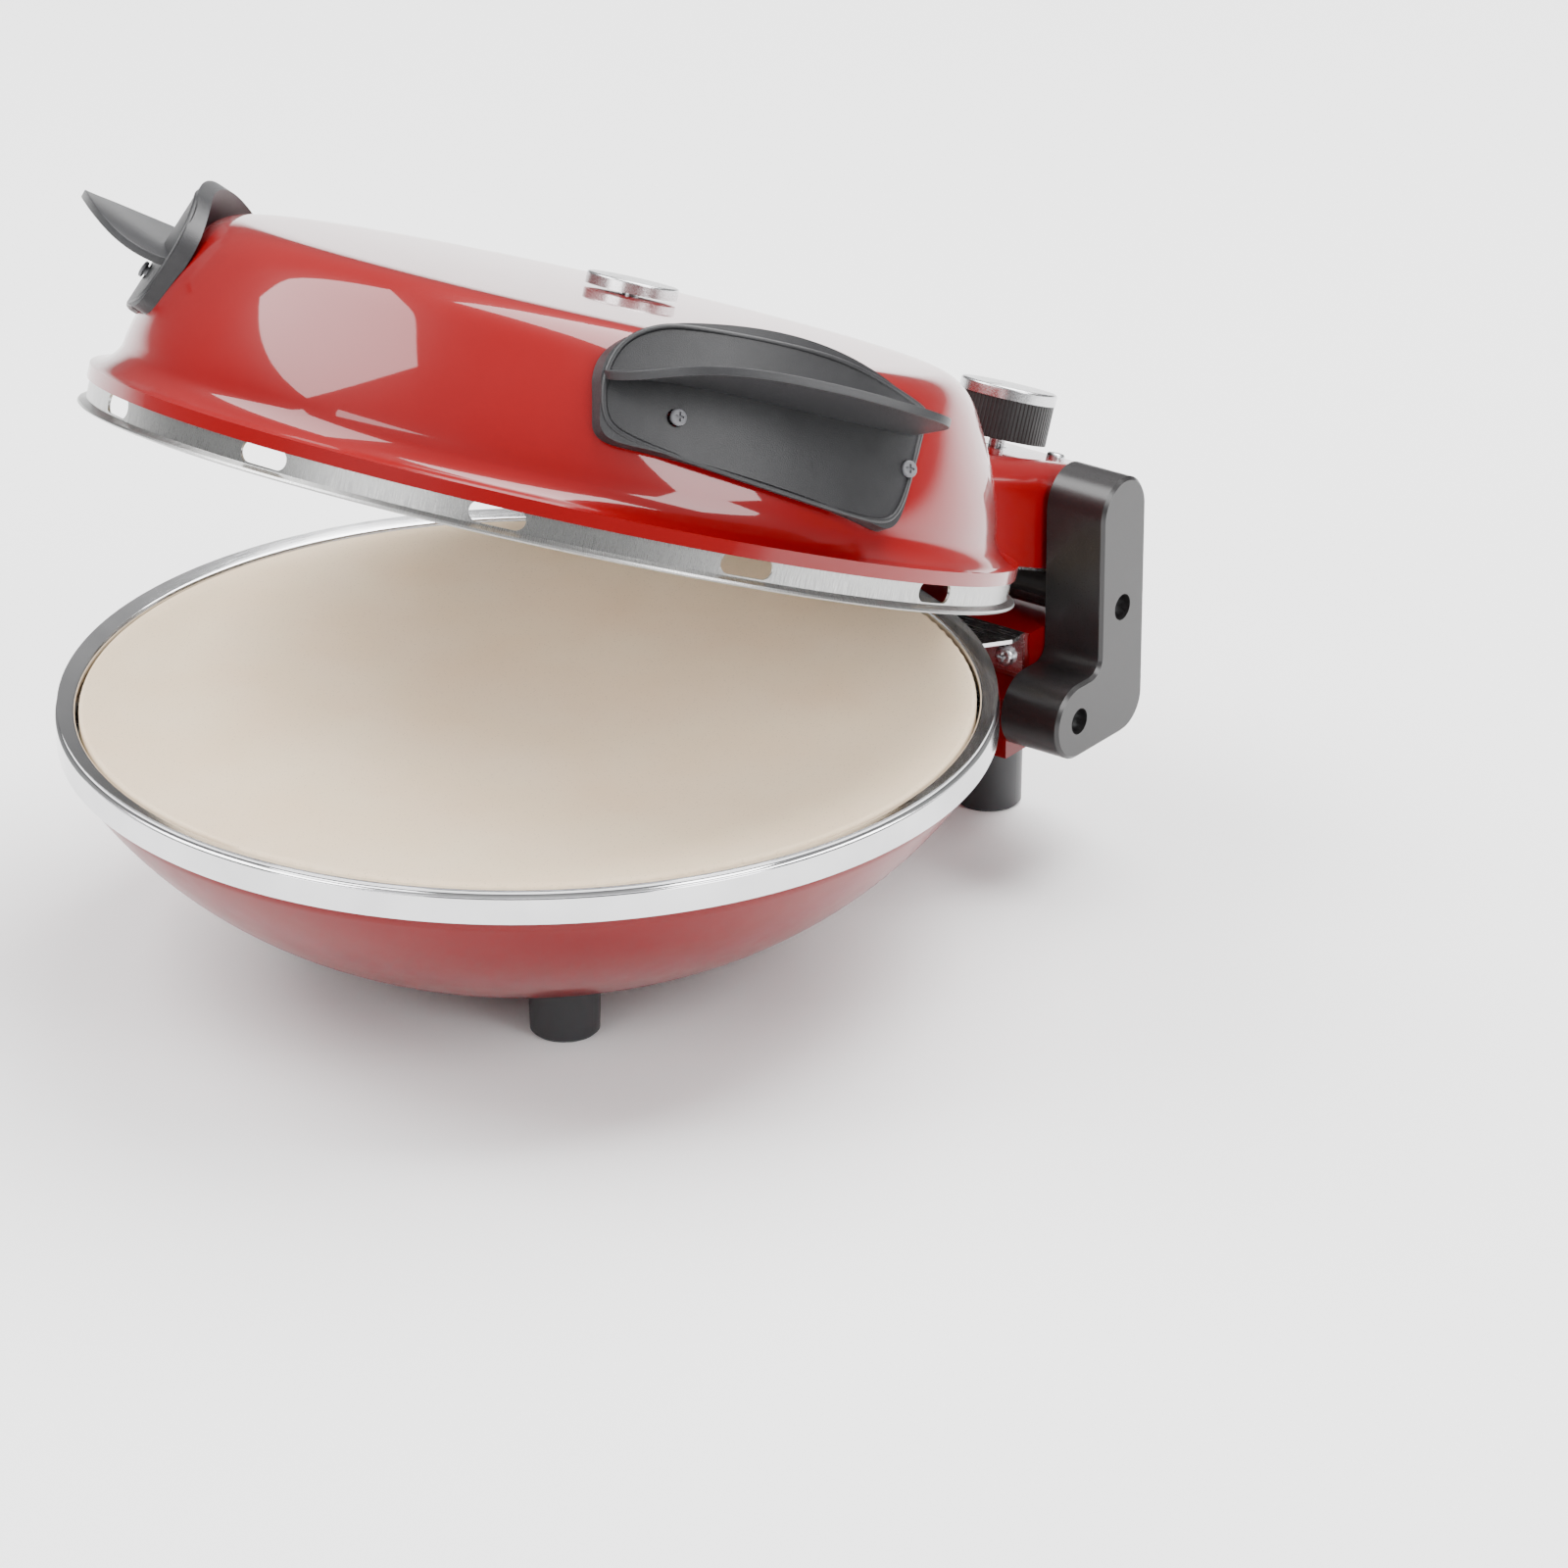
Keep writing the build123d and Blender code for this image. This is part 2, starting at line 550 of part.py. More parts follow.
UP_TAIL_X = tail_x(UP_RING_R)
with BuildPart() as lid_dome:
    add(revolve(dome_outline(0), axis=Axis.Z, mode=Mode.PRIVATE))
    add(
        Location((0, 0, -0.01)) * revolve(dome_outline(-SHEET), axis=Axis.Z, mode=Mode.PRIVATE),
        mode=Mode.SUBTRACT,
    )
    with BuildSketch(Plane.XZ.offset(-130)):
        with Locations((-UP_TAIL_X, UP_HEATER_Z), (UP_TAIL_X, UP_HEATER_Z)):
            Circle(TAIL_HOLE_R)
    extrude(amount=-40, mode=Mode.SUBTRACT)
    with BuildSketch(Plane.XY.offset(60)):
        with Locations(TIMER_AT):
            Circle(3.6)
    extrude(amount=40, mode=Mode.SUBTRACT)
save(lid_dome.part, "lid_dome", on_lid=True)

# ---- Vented rim band under the dome: rolled lip, upright band, slots, in-turned top -----------
SLOT_L, SLOT_H, SLOT_Z = 19.0, 7.0, 6.6
SLOT_ANGLES = [30 * i for i in range(12) if 30 * i not in (60, 90, 120)]
with BuildPart() as lid_rim_band:
    with BuildSketch(Plane.XZ):
        with BuildLine():
            Polyline(
                (161.4, 12.4), (161.4, 2.6), (162.8, 1.9), (163.9, 1.4), (164.2, 0.7), (163.6, 0.1),
                (162.6, 0.1), (160.4, 1.9), (160.4, 11.4), (156.0, 11.4), (156.0, 12.4),
                (161.4, 12.4),
            )
        make_face()
    revolve(axis=Axis.Z)
    for slot_angle in SLOT_ANGLES:
        with BuildSketch(radial_plane(slot_angle, 150, SLOT_Z)):
            SlotOverall(SLOT_L, SLOT_H)
        extrude(amount=20, mode=Mode.SUBTRACT)
save(lid_rim_band.part, "lid_rim_band", on_lid=True)

# ---- Upper reflector: the polished ceiling of the baking space -------------------------------
REFLECTOR_TOP = 50.0
with BuildPart() as lid_reflector:
    add(
        revolve(
            spin_sheet(
                [(157, 12.5), (148, 12.5), (142, 33), (128, 45), (112, REFLECTOR_TOP - THIN),
                 (0, REFLECTOR_TOP - THIN)],
                THIN,
                Side.RIGHT,
            ),
            axis=Axis.Z,
            mode=Mode.PRIVATE,
        )
    )
    with BuildSketch(Plane.XZ.offset(-110)):
        with Locations((-UP_TAIL_X, UP_HEATER_Z), (UP_TAIL_X, UP_HEATER_Z)):
            Circle(TAIL_HOLE_R)
    extrude(amount=-45, mode=Mode.SUBTRACT)
save(lid_reflector.part, "lid_reflector", on_lid=True)

upper_heater = heater_loop(UP_RING_R, UP_HEATER_Z, 161)
save(upper_heater, "upper_heater", on_lid=True)

with BuildPart() as upper_heater_clips:
    for clip_angle in (-90, 30, 150):
        add(heater_clip(clip_angle, UP_RING_R, REFLECTOR_TOP - THIN, UP_HEATER_Z))
save(upper_heater_clips.part, "upper_heater_clips", on_lid=True)

with BuildPart() as upper_heater_terminals:
    for side in (-1, 1):
        with BuildSketch(Plane(origin=(side * UP_TAIL_X, 161, UP_HEATER_Z), z_dir=(0, 1, 0))):
            Circle(4.6)
        extrude(amount=6)
        with BuildSketch(Plane(origin=(side * UP_TAIL_X, 167, UP_HEATER_Z), z_dir=(0, 1, 0))):
            Rectangle(6.3, 0.8)
        extrude(amount=8)
save(upper_heater_terminals.part, "upper_heater_terminals", on_lid=True)

# ---- Rear housing on the lid -------------------------------------------------------------------
HOUSE_FRONT = 96.0
HOUSE_SCREWS = [(47.0, 160.0), (83.0, 184.0)]
with BuildPart() as lid_rear_housing:
    with BuildSketch(Plane.XY.offset(HOUSE_BOTTOM)):
        with Locations((0, (HOUSE_FRONT + HOUSE_BACK) / 2)):
            Rectangle(2 * HOUSE_X, HOUSE_BACK - HOUSE_FRONT)
    extrude(amount=HOUSE_TOP - HOUSE_BOTTOM)
    fillet(lid_rear_housing.edges().filter_by(Axis.Z).group_by(Axis.Y)[-1], 12)
    fillet(lid_rear_housing.faces().sort_by(Axis.Z)[-1].edges().sort_by(Axis.Y)[1:], 10)
    offset(amount=-SHEET, openings=lid_rear_housing.faces().sort_by(Axis.Z)[0])
    with BuildSketch(Plane.XZ.offset(-HOUSE_FRONT + 5)):
        with Locations((0, (HOUSE_TOP + HOUSE_BOTTOM) / 2 - SHEET)):
            Rectangle(2 * HOUSE_X - 22, HOUSE_TOP - HOUSE_BOTTOM)
    extrude(amount=-12, mode=Mode.SUBTRACT)
    add(dome_envelope.part, mode=Mode.SUBTRACT)
    with BuildSketch(Plane.XY):
        Circle(162.8)
    extrude(amount=12, mode=Mode.SUBTRACT)
    with BuildSketch(Plane.XY.offset(HOUSE_TOP - 5)):
        with Locations(THERMOSTAT_AT):
            Circle(3.8)
        with Locations(*HOUSE_SCREWS):
            Circle(1.7)
    extrude(amount=10, mode=Mode.SUBTRACT)
save(lid_rear_housing.part, "lid_rear_housing", on_lid=True)

with BuildPart() as lid_base_plate:
    with BuildSketch(Plane.XY.offset(HOUSE_BOTTOM)):
        with Locations((0, 172)):
            Rectangle(2 * HOUSE_X, 68)
    extrude(amount=-SHEET)
    fillet(lid_base_plate.edges().filter_by(Axis.Z).group_by(Axis.Y)[-1], 12)
    with BuildSketch(Plane.XY.offset(0)):
        Circle(163.2)
    extrude(amount=20, mode=Mode.SUBTRACT)
save(lid_base_plate.part, "lid_base_plate", on_lid=True)

BOSS_R, CORE_R = 7.6, 5.0
with BuildPart() as lid_hinge_cover:
    with BuildSketch(Plane.YZ.offset(-HOUSE_X)):
        with Locations((PIVOT_Y, PIVOT_Z)):
            Circle(BOSS_R)
        with Locations((PIVOT_Y, (PIVOT_Z + HOUSE_BOTTOM - SHEET) / 2)):
            Rectangle(2 * BOSS_R, HOUSE_BOTTOM - SHEET - PIVOT_Z)
    extrude(amount=2 * HOUSE_X)
    with BuildSketch(Plane.YZ.offset(-HOUSE_X + 12)):
        with Locations((PIVOT_Y, PIVOT_Z)):
            Circle(BOSS_R - 1.6)
    extrude(amount=2 * HOUSE_X - 24, mode=Mode.SUBTRACT)
    with BuildSketch(Plane.YZ.offset(-HOUSE_X)):
        with Locations((PIVOT_Y, PIVOT_Z)):
            Circle(CORE_R)
    extrude(amount=2 * HOUSE_X, mode=Mode.SUBTRACT)
    with BuildSketch(Plane.XY.offset(HOUSE_BOTTOM - SHEET)):
        with Locations((0, PIVOT_Y)):
            Rectangle(2 * HOUSE_X, 30)
    extrude(amount=10, mode=Mode.SUBTRACT)
save(lid_hinge_cover.part, "lid_hinge_cover", on_lid=True)

with BuildPart() as hinge_bushes:
    for side in (-1, 1):
        with BuildSketch(Plane.YZ.offset(side * HOUSE_X)):
            with Locations((PIVOT_Y, PIVOT_Z)):
                Circle(CORE_R)
                Circle(PIN_R + RUNNING, mode=Mode.SUBTRACT)
        extrude(amount=-side * 11)
save(hinge_bushes.part, "hinge_bushes", on_lid=True)

with BuildPart() as housing_screws:
    housing_screw = pan_screw(3.4, 2.2, 1.6, 6.0)
    for x, y in HOUSE_SCREWS:
        add(Location((x, y, HOUSE_TOP)) * housing_screw)
save(housing_screws.part, "housing_screws", on_lid=True)

# ---- Thermostat: body under the housing's top, turning shaft, knurled knob and metal cap --------
KNOB_R, KNOB_BASE, KNOB_SKIRT, KNOB_CAP = 17.2, 48.5, 14.5, 4.3
SHAFT_R = 3.0
with BuildPart() as thermostat_body:
    with Locations((*THERMOSTAT_AT, HOUSE_TOP - SHEET)):
        Box(32, 28, 18, align=(Align.CENTER, Align.CENTER, Align.MAX))
    fillet(thermostat_body.edges().filter_by(Axis.Z), 3)
    with Locations((*THERMOSTAT_AT, HOUSE_TOP - SHEET)):
        Hole(SHAFT_R + RUNNING, depth=12)
save(thermostat_body.part, "thermostat_body", on_lid=True)

with BuildPart() as thermostat_shaft:
    with Locations((*THERMOSTAT_AT, HOUSE_TOP - 12)):
        Cylinder(SHAFT_R, 24, align=(Align.CENTER, Align.CENTER, Align.MIN))
save(thermostat_shaft.part, "thermostat_shaft", on_lid=True)

KNURLS = 72
with BuildPart() as thermostat_knob:
    with BuildSketch(Plane.XY.offset(KNOB_BASE)):
        with Locations(THERMOSTAT_AT):
            Circle(KNOB_R)
            with PolarLocations(KNOB_R + 0.15, KNURLS):
                Circle(0.42, mode=Mode.SUBTRACT)
            Circle(SHAFT_R, mode=Mode.SUBTRACT)
    extrude(amount=KNOB_SKIRT)
    with Locations((*THERMOSTAT_AT, KNOB_BASE)):
        Cylinder(13, 4, align=(Align.CENTER, Align.CENTER, Align.MIN), mode=Mode.SUBTRACT)
        Cylinder(SHAFT_R + 3, 4, align=(Align.CENTER, Align.CENTER, Align.MIN))
        Cylinder(SHAFT_R, 4, align=(Align.CENTER, Align.CENTER, Align.MIN), mode=Mode.SUBTRACT)
save(thermostat_knob.part, "thermostat_knob", on_lid=True)

with BuildPart() as thermostat_knob_cap:
    with Locations((*THERMOSTAT_AT, KNOB_BASE + KNOB_SKIRT)):
        Cylinder(KNOB_R + 0.3, KNOB_CAP, align=(Align.CENTER, Align.CENTER, Align.MIN))
    fillet(thermostat_knob_cap.edges().sort_by(Axis.Z)[-1], 0.9)
    with BuildSketch(Plane.XY.offset(KNOB_BASE + KNOB_SKIRT + KNOB_CAP)):
        with Locations((THERMOSTAT_AT[0], THERMOSTAT_AT[1] - 10)):
            SlotOverall(10, 1.4, rotation=90)
    extrude(amount=-0.6, mode=Mode.SUBTRACT)
save(thermostat_knob_cap.part, "thermostat_knob_cap", on_lid=True)

# ---- Timer: clockwork body under the dome's top, low metal-rimmed knob ---------------------------
TIMER_R, TIMER_CAP, TIMER_GAP = 16.2, 4.2, 1.0
TIMER_BASE = DOME_TOP + TIMER_GAP
with BuildPart() as timer_body:
    with Locations((*TIMER_AT, DOME_TOP - SHEET - 0.4)):
        Box(40, 40, 21, align=(Align.CENTER, Align.CENTER, Align.MAX))
    fillet(timer_body.edges().filter_by(Axis.Z), 4)
    with Locations((*TIMER_AT, DOME_TOP - SHEET - 0.4)):
        Hole(SHAFT_R + RUNNING, depth=12)
save(timer_body.part, "timer_body", on_lid=True)

with BuildPart() as timer_shaft:
    with Locations((*TIMER_AT, DOME_TOP - 12)):
        Cylinder(SHAFT_R, 15, align=(Align.CENTER, Align.CENTER, Align.MIN))
save(timer_shaft.part, "timer_shaft", on_lid=True)

with BuildPart() as timer_knob:
    with Locations((*TIMER_AT, TIMER_BASE)):
        Cylinder(TIMER_R - 1.2, 3.4, align=(Align.CENTER, Align.CENTER, Align.MIN))
        Cylinder(SHAFT_R, 2.0, align=(Align.CENTER, Align.CENTER, Align.MIN), mode=Mode.SUBTRACT)
save(timer_knob.part, "timer_knob", on_lid=True)

with BuildPart() as timer_knob_cap:
    with Locations((*TIMER_AT, TIMER_BASE)):
        Cylinder(TIMER_R, TIMER_CAP, align=(Align.CENTER, Align.CENTER, Align.MIN))
    fillet(timer_knob_cap.edges().sort_by(Axis.Z)[-1], 0.8)
    with Locations((*TIMER_AT, TIMER_BASE)):
        Cylinder(TIMER_R - 1.2, 3.4, align=(Align.CENTER, Align.CENTER, Align.MIN), mode=Mode.SUBTRACT)
    with BuildSketch(Plane.XY.offset(TIMER_BASE + TIMER_CAP)):
        with Locations((TIMER_AT[0], TIMER_AT[1] - 10)):
            SlotOverall(8, 1.2, rotation=90)
    extrude(amount=-0.5, mode=Mode.SUBTRACT)
save(timer_knob_cap.part, "timer_knob_cap", on_lid=True)

# ---- Side handles: a moulded shield that follows the dome, and a blade to grip ------------------
SHIELD_T, SHIELD_BACK = 6.0, 0.6
HANDLE_Z, HANDLE_R, WALL_LEAN = 53.0, 142.5, 20.0
BLADE_T, BLADE_RISE, BLADE_TILT = 3.2, 0.5, 14.0


def wall_cone(grow):
    """Solid cone that follows the dome's wall, grown by grow, carried on above the shoulder."""
    with BuildPart(mode=Mode.PRIVATE) as cone:
        with BuildSketch(Plane.XZ):
            with BuildLine():
                Polyline((0, 5), (159.5 + grow, 5), (128.0 + grow, 90), (0, 90), (0, 5))
            make_face()
        revolve(axis=Axis.Z)
    return cone.part


def handle_plane(side):
    """Plane on the dome's wall: X runs to the rear, Y up the wall, Z away from the wall."""
    az, lean = math.radians(HANDLE_AZ), math.radians(WALL_LEAN)
    out = Vector(math.sin(az), -math.cos(az), 0)
    rear = Vector(math.cos(az), math.sin(az), 0)
    normal = out * math.cos(lean) + Vector(0, 0, math.sin(lean))
    origin = out * HANDLE_R + Vector(0, 0, HANDLE_Z)
    return Plane(origin=origin, x_dir=rear, z_dir=normal)


def shield_sketch(plane):
    """Outline of the shield: round high front, long falling top, slanted rear, straight foot."""
    with BuildSketch(plane, mode=Mode.PRIVATE) as outline:
        with BuildLine():
            Line((-61, -8), (-61, 5))
            Spline((-61, 5), (-52, 21), (-34, 27), tangents=((0, 1), (1, 0.1)))
            Spline((-34, 27), (22, 26), (64, 13), tangents=((1, 0.1), (1, -0.45)))
            Line((64, 13), (54, -17))
            Spline((54, -17), (42, -29), tangents=((-0.33, -1), (-1, 0.14)))
            Line((42, -29), (-50, -16))
            Spline((-50, -16), (-61, -8), tangents=((-1, 0.14), (0, 1)))
        make_face()
    return outline.sketch


right_plane = handle_plane(1)
PLUG_AT = [(-37.0, -5.0), (54.0, -7.0)]

with BuildPart() as shield:
    with BuildSketch(right_plane):
        add(shield_sketch(Plane.XY))
    extrude(amount=30, both=True)
    add(wall_cone(SHIELD_BACK + SHIELD_T), mode=Mode.INTERSECT)
    add(wall_cone(SHIELD_BACK), mode=Mode.SUBTRACT)
    add(dome_envelope.part, mode=Mode.SUBTRACT)
    with BuildSketch(right_plane.offset(-25)):
        with Locations(*PLUG_AT):
            Circle(3.1)
    extrude(amount=60, mode=Mode.SUBTRACT)

# The blade leaves the shield low at the front and climbs and widens towards the rear.
blade_start = right_plane.from_local_coords((-59, 4.0, 0))
blade_x = (right_plane.x_dir + right_plane.y_dir * math.tan(math.radians(BLADE_RISE))).normalized()
level_out = Vector(right_plane.z_dir.X, right_plane.z_dir.Y, 0).normalized()
blade_out = (level_out + Vector(0, 0, math.tan(math.radians(BLADE_TILT)))).normalized()
blade_plane = Plane(origin=blade_start, x_dir=blade_x, z_dir=blade_x.cross(blade_out).normalized())
with BuildPart() as blade:
    with BuildSketch(blade_plane):
        with BuildLine():
            Polyline((2, -30), (2, 6))
            Spline((2, 6), (28, 25), (62, 35), (92, 39), (112, 40), tangents=((1, 1.1), (1, 0.0)))
            ThreePointArc((112, 40), (117.5, 38), (119, 32))
            Line((119, 32), (113, -30))
            Line((113, -30), (2, -30))
        make_face()
    extrude(amount=BLADE_T / 2, both=True)
    add(wall_cone(SHIELD_BACK + SHIELD_T + 0.01), mode=Mode.SUBTRACT)

with BuildPart() as handle_screw_pair:
    plug_screw = pan_screw(2.9, 1.2, 1.6, 9.0)
    for x, y in PLUG_AT:
        reach = HANDLE_R + SHIELD_BACK + SHIELD_T
        drop = reach - math.sqrt(reach**2 - x**2)
        add(right_plane * Location((x, y, SHIELD_T + 0.8 - drop)) * plug_screw)
    add(dome_envelope.part, mode=Mode.SUBTRACT)

for name, piece in (("handle", shield), ("grip", blade), ("handle_screws", handle_screw_pair)):
    save(piece.part, f"{name}_right", on_lid=True)
    save(mirror(piece.part, about=Plane.YZ), f"{name}_left", on_lid=True)
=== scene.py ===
"""Looks of the countertop pizza oven: finishes, fine surfaces, studio and camera."""

import json
import logging
import math
from dataclasses import dataclass, field
from enum import Enum

import bmesh
import bpy
from mathutils import Matrix, Vector
from mathutils.geometry import interpolate_bezier

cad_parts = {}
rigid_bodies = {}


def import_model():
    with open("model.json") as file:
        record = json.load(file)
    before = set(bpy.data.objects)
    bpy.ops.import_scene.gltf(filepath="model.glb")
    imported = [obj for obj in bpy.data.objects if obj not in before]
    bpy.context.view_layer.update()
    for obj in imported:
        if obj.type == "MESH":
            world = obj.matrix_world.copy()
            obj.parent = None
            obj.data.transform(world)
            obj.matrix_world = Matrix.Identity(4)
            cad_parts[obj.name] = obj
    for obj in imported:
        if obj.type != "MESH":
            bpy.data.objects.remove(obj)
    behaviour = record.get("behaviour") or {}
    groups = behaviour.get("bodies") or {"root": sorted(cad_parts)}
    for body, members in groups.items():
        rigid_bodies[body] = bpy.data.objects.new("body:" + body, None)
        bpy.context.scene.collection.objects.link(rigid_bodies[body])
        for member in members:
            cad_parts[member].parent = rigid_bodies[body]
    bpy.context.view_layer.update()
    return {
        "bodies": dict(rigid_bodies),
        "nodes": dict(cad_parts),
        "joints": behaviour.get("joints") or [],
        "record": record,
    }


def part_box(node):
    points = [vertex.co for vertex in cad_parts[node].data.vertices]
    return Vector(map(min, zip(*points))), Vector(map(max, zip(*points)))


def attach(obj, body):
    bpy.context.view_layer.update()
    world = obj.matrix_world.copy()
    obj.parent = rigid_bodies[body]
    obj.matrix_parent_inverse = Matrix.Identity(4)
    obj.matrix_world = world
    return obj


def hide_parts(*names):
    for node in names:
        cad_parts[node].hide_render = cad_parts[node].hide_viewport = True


LOG = logging.getLogger("oven")
MM = 0.001
MERGE = 1e-7                                # metres within which doubles are merged
COAT_ROUGH, COATED_SPECULAR = 0.04, 0.1     # gloss of the clear coat and of the colour under it
SPECK_SCALE, SPECK_SIZE, SPECK_SHARE = 0.45, 0.16, 0.5
ALONG, ROUND_SPAN, UPRIGHT_SPAN = 0.03, 0.004, 0.16    # how far the grain is stretched

Point = tuple[float, float]
Profile = list[Point]
Colour = tuple[float, float, float]


# ---- Node graph helper ---------------------------------------------------------------------


class Graph:
    """Small wrapper that adds and links shader nodes of one material."""

    def __init__(self, name: str) -> None:
        """Start a material with a Principled shader.

        Args:
            name: The material's name.
        """
        self.material = bpy.data.materials.new(name)
        self.material.use_nodes = True
        self.tree = self.material.node_tree
        self.shader = self.tree.nodes["Principled BSDF"]

    def node(self, kind: str, **settings: object) -> bpy.types.Node:
        """Add a node.

        Args:
            kind: Blender's node type name.
            settings: Properties to set on the node.

        Returns:
            The new node.
        """
        made = self.tree.nodes.new(kind)
        for key, value in settings.items():
            setattr(made, key, value)
        return made

    def link(self, source: bpy.types.NodeSocket, target: bpy.types.NodeSocket) -> None:
        """Join two sockets.

        Args:
            source: Output socket.
            target: Input socket.
        """
        self.tree.links.new(source, target)

    def maths(self, operation: str, first: object, second: object = None) -> bpy.types.NodeSocket:
        """Add a Math node.

        Args:
            operation: The node's operation.
            first: First value or socket.
            second: Second value or socket, if there is one.

        Returns:
            The result's socket.
        """
        made = self.node("ShaderNodeMath", operation=operation)
        for slot, value in zip(made.inputs, (first, second)):
            if isinstance(value, bpy.types.NodeSocket):
                self.link(value, slot)
            elif value is not None:
                slot.default_value = value
        return made.outputs[0]

    def noise(
        self, vector: bpy.types.NodeSocket, scale: float, detail: float = 3.0, rough: float = 0.5
    ) -> bpy.types.NodeSocket:
        """Add a noise texture.

        Args:
            vector: Where the noise is read.
            scale: Noise scale per metre.
            detail: Octaves.
            rough: Roughness of the octaves.

        Returns:
            The factor's socket.
        """
        made = self.node("ShaderNodeTexNoise")
        made.inputs["Scale"].default_value = scale
        made.inputs["Detail"].default_value = detail
        made.inputs["Roughness"].default_value = rough
        self.link(vector, made.inputs["Vector"])
        return made.outputs["Fac"]

    def span(self, value: bpy.types.NodeSocket, low: float, high: float) -> bpy.types.NodeSocket:
        """Map a 0.3 to 0.7 noise value to a range.

        Args:
            value: The noise factor.
            low: Result at 0.3 and below.
            high: Result at 0.7 and above.

        Returns:
            The mapped socket.
        """
        made = self.node("ShaderNodeMapRange")
        self.link(value, made.inputs["Value"])
        for socket, number in (("From Min", 0.3), ("From Max", 0.7), ("To Min", low), ("To Max", high)):
            made.inputs[socket].default_value = number
        return made.outputs["Result"]

    def mix(
        self, factor: bpy.types.NodeSocket, first: tuple[float, ...], second: tuple[float, ...]
    ) -> bpy.types.NodeSocket:
        """Mix two colours.

        Args:
            factor: How much of the second colour shows.
            first: RGB of the first colour.
            second: RGB of the second colour.

        Returns:
            The colour's socket.
        """
        made = self.node("ShaderNodeMix", data_type="RGBA")
        self.link(factor, made.inputs["Factor"])
        made.inputs["A"].default_value = (*first, 1.0)
        made.inputs["B"].default_value = (*second, 1.0)
        return made.outputs["Result"]

    def bump(self, height: bpy.types.NodeSocket, strength: float, distance: float) -> None:
        """Bump the shader's normal.

        Args:
            height: The height socket.
            strength: Bump strength, 0 to 1.
            distance: Depth in metres.
        """
        made = self.node("ShaderNodeBump")
        made.inputs["Strength"].default_value = strength
        made.inputs["Distance"].default_value = distance
        self.link(height, made.inputs["Height"])
        self.link(made.outputs["Normal"], self.shader.inputs["Normal"])
        if self.shader.inputs["Coat Weight"].default_value > 0:
            self.link(made.outputs["Normal"], self.shader.inputs["Coat Normal"])


class Grain(Enum):
    """How a surface's fine texture runs."""

    EVEN = "even"
    ROUND = "round"        # lines that run round the oven's upright axis
    UPRIGHT = "upright"    # lines that run up and down a round wall
    ALONG_X = "along_x"


class Side(Enum):
    """The two sides of the oven."""

    RIGHT = 1
    LEFT = -1


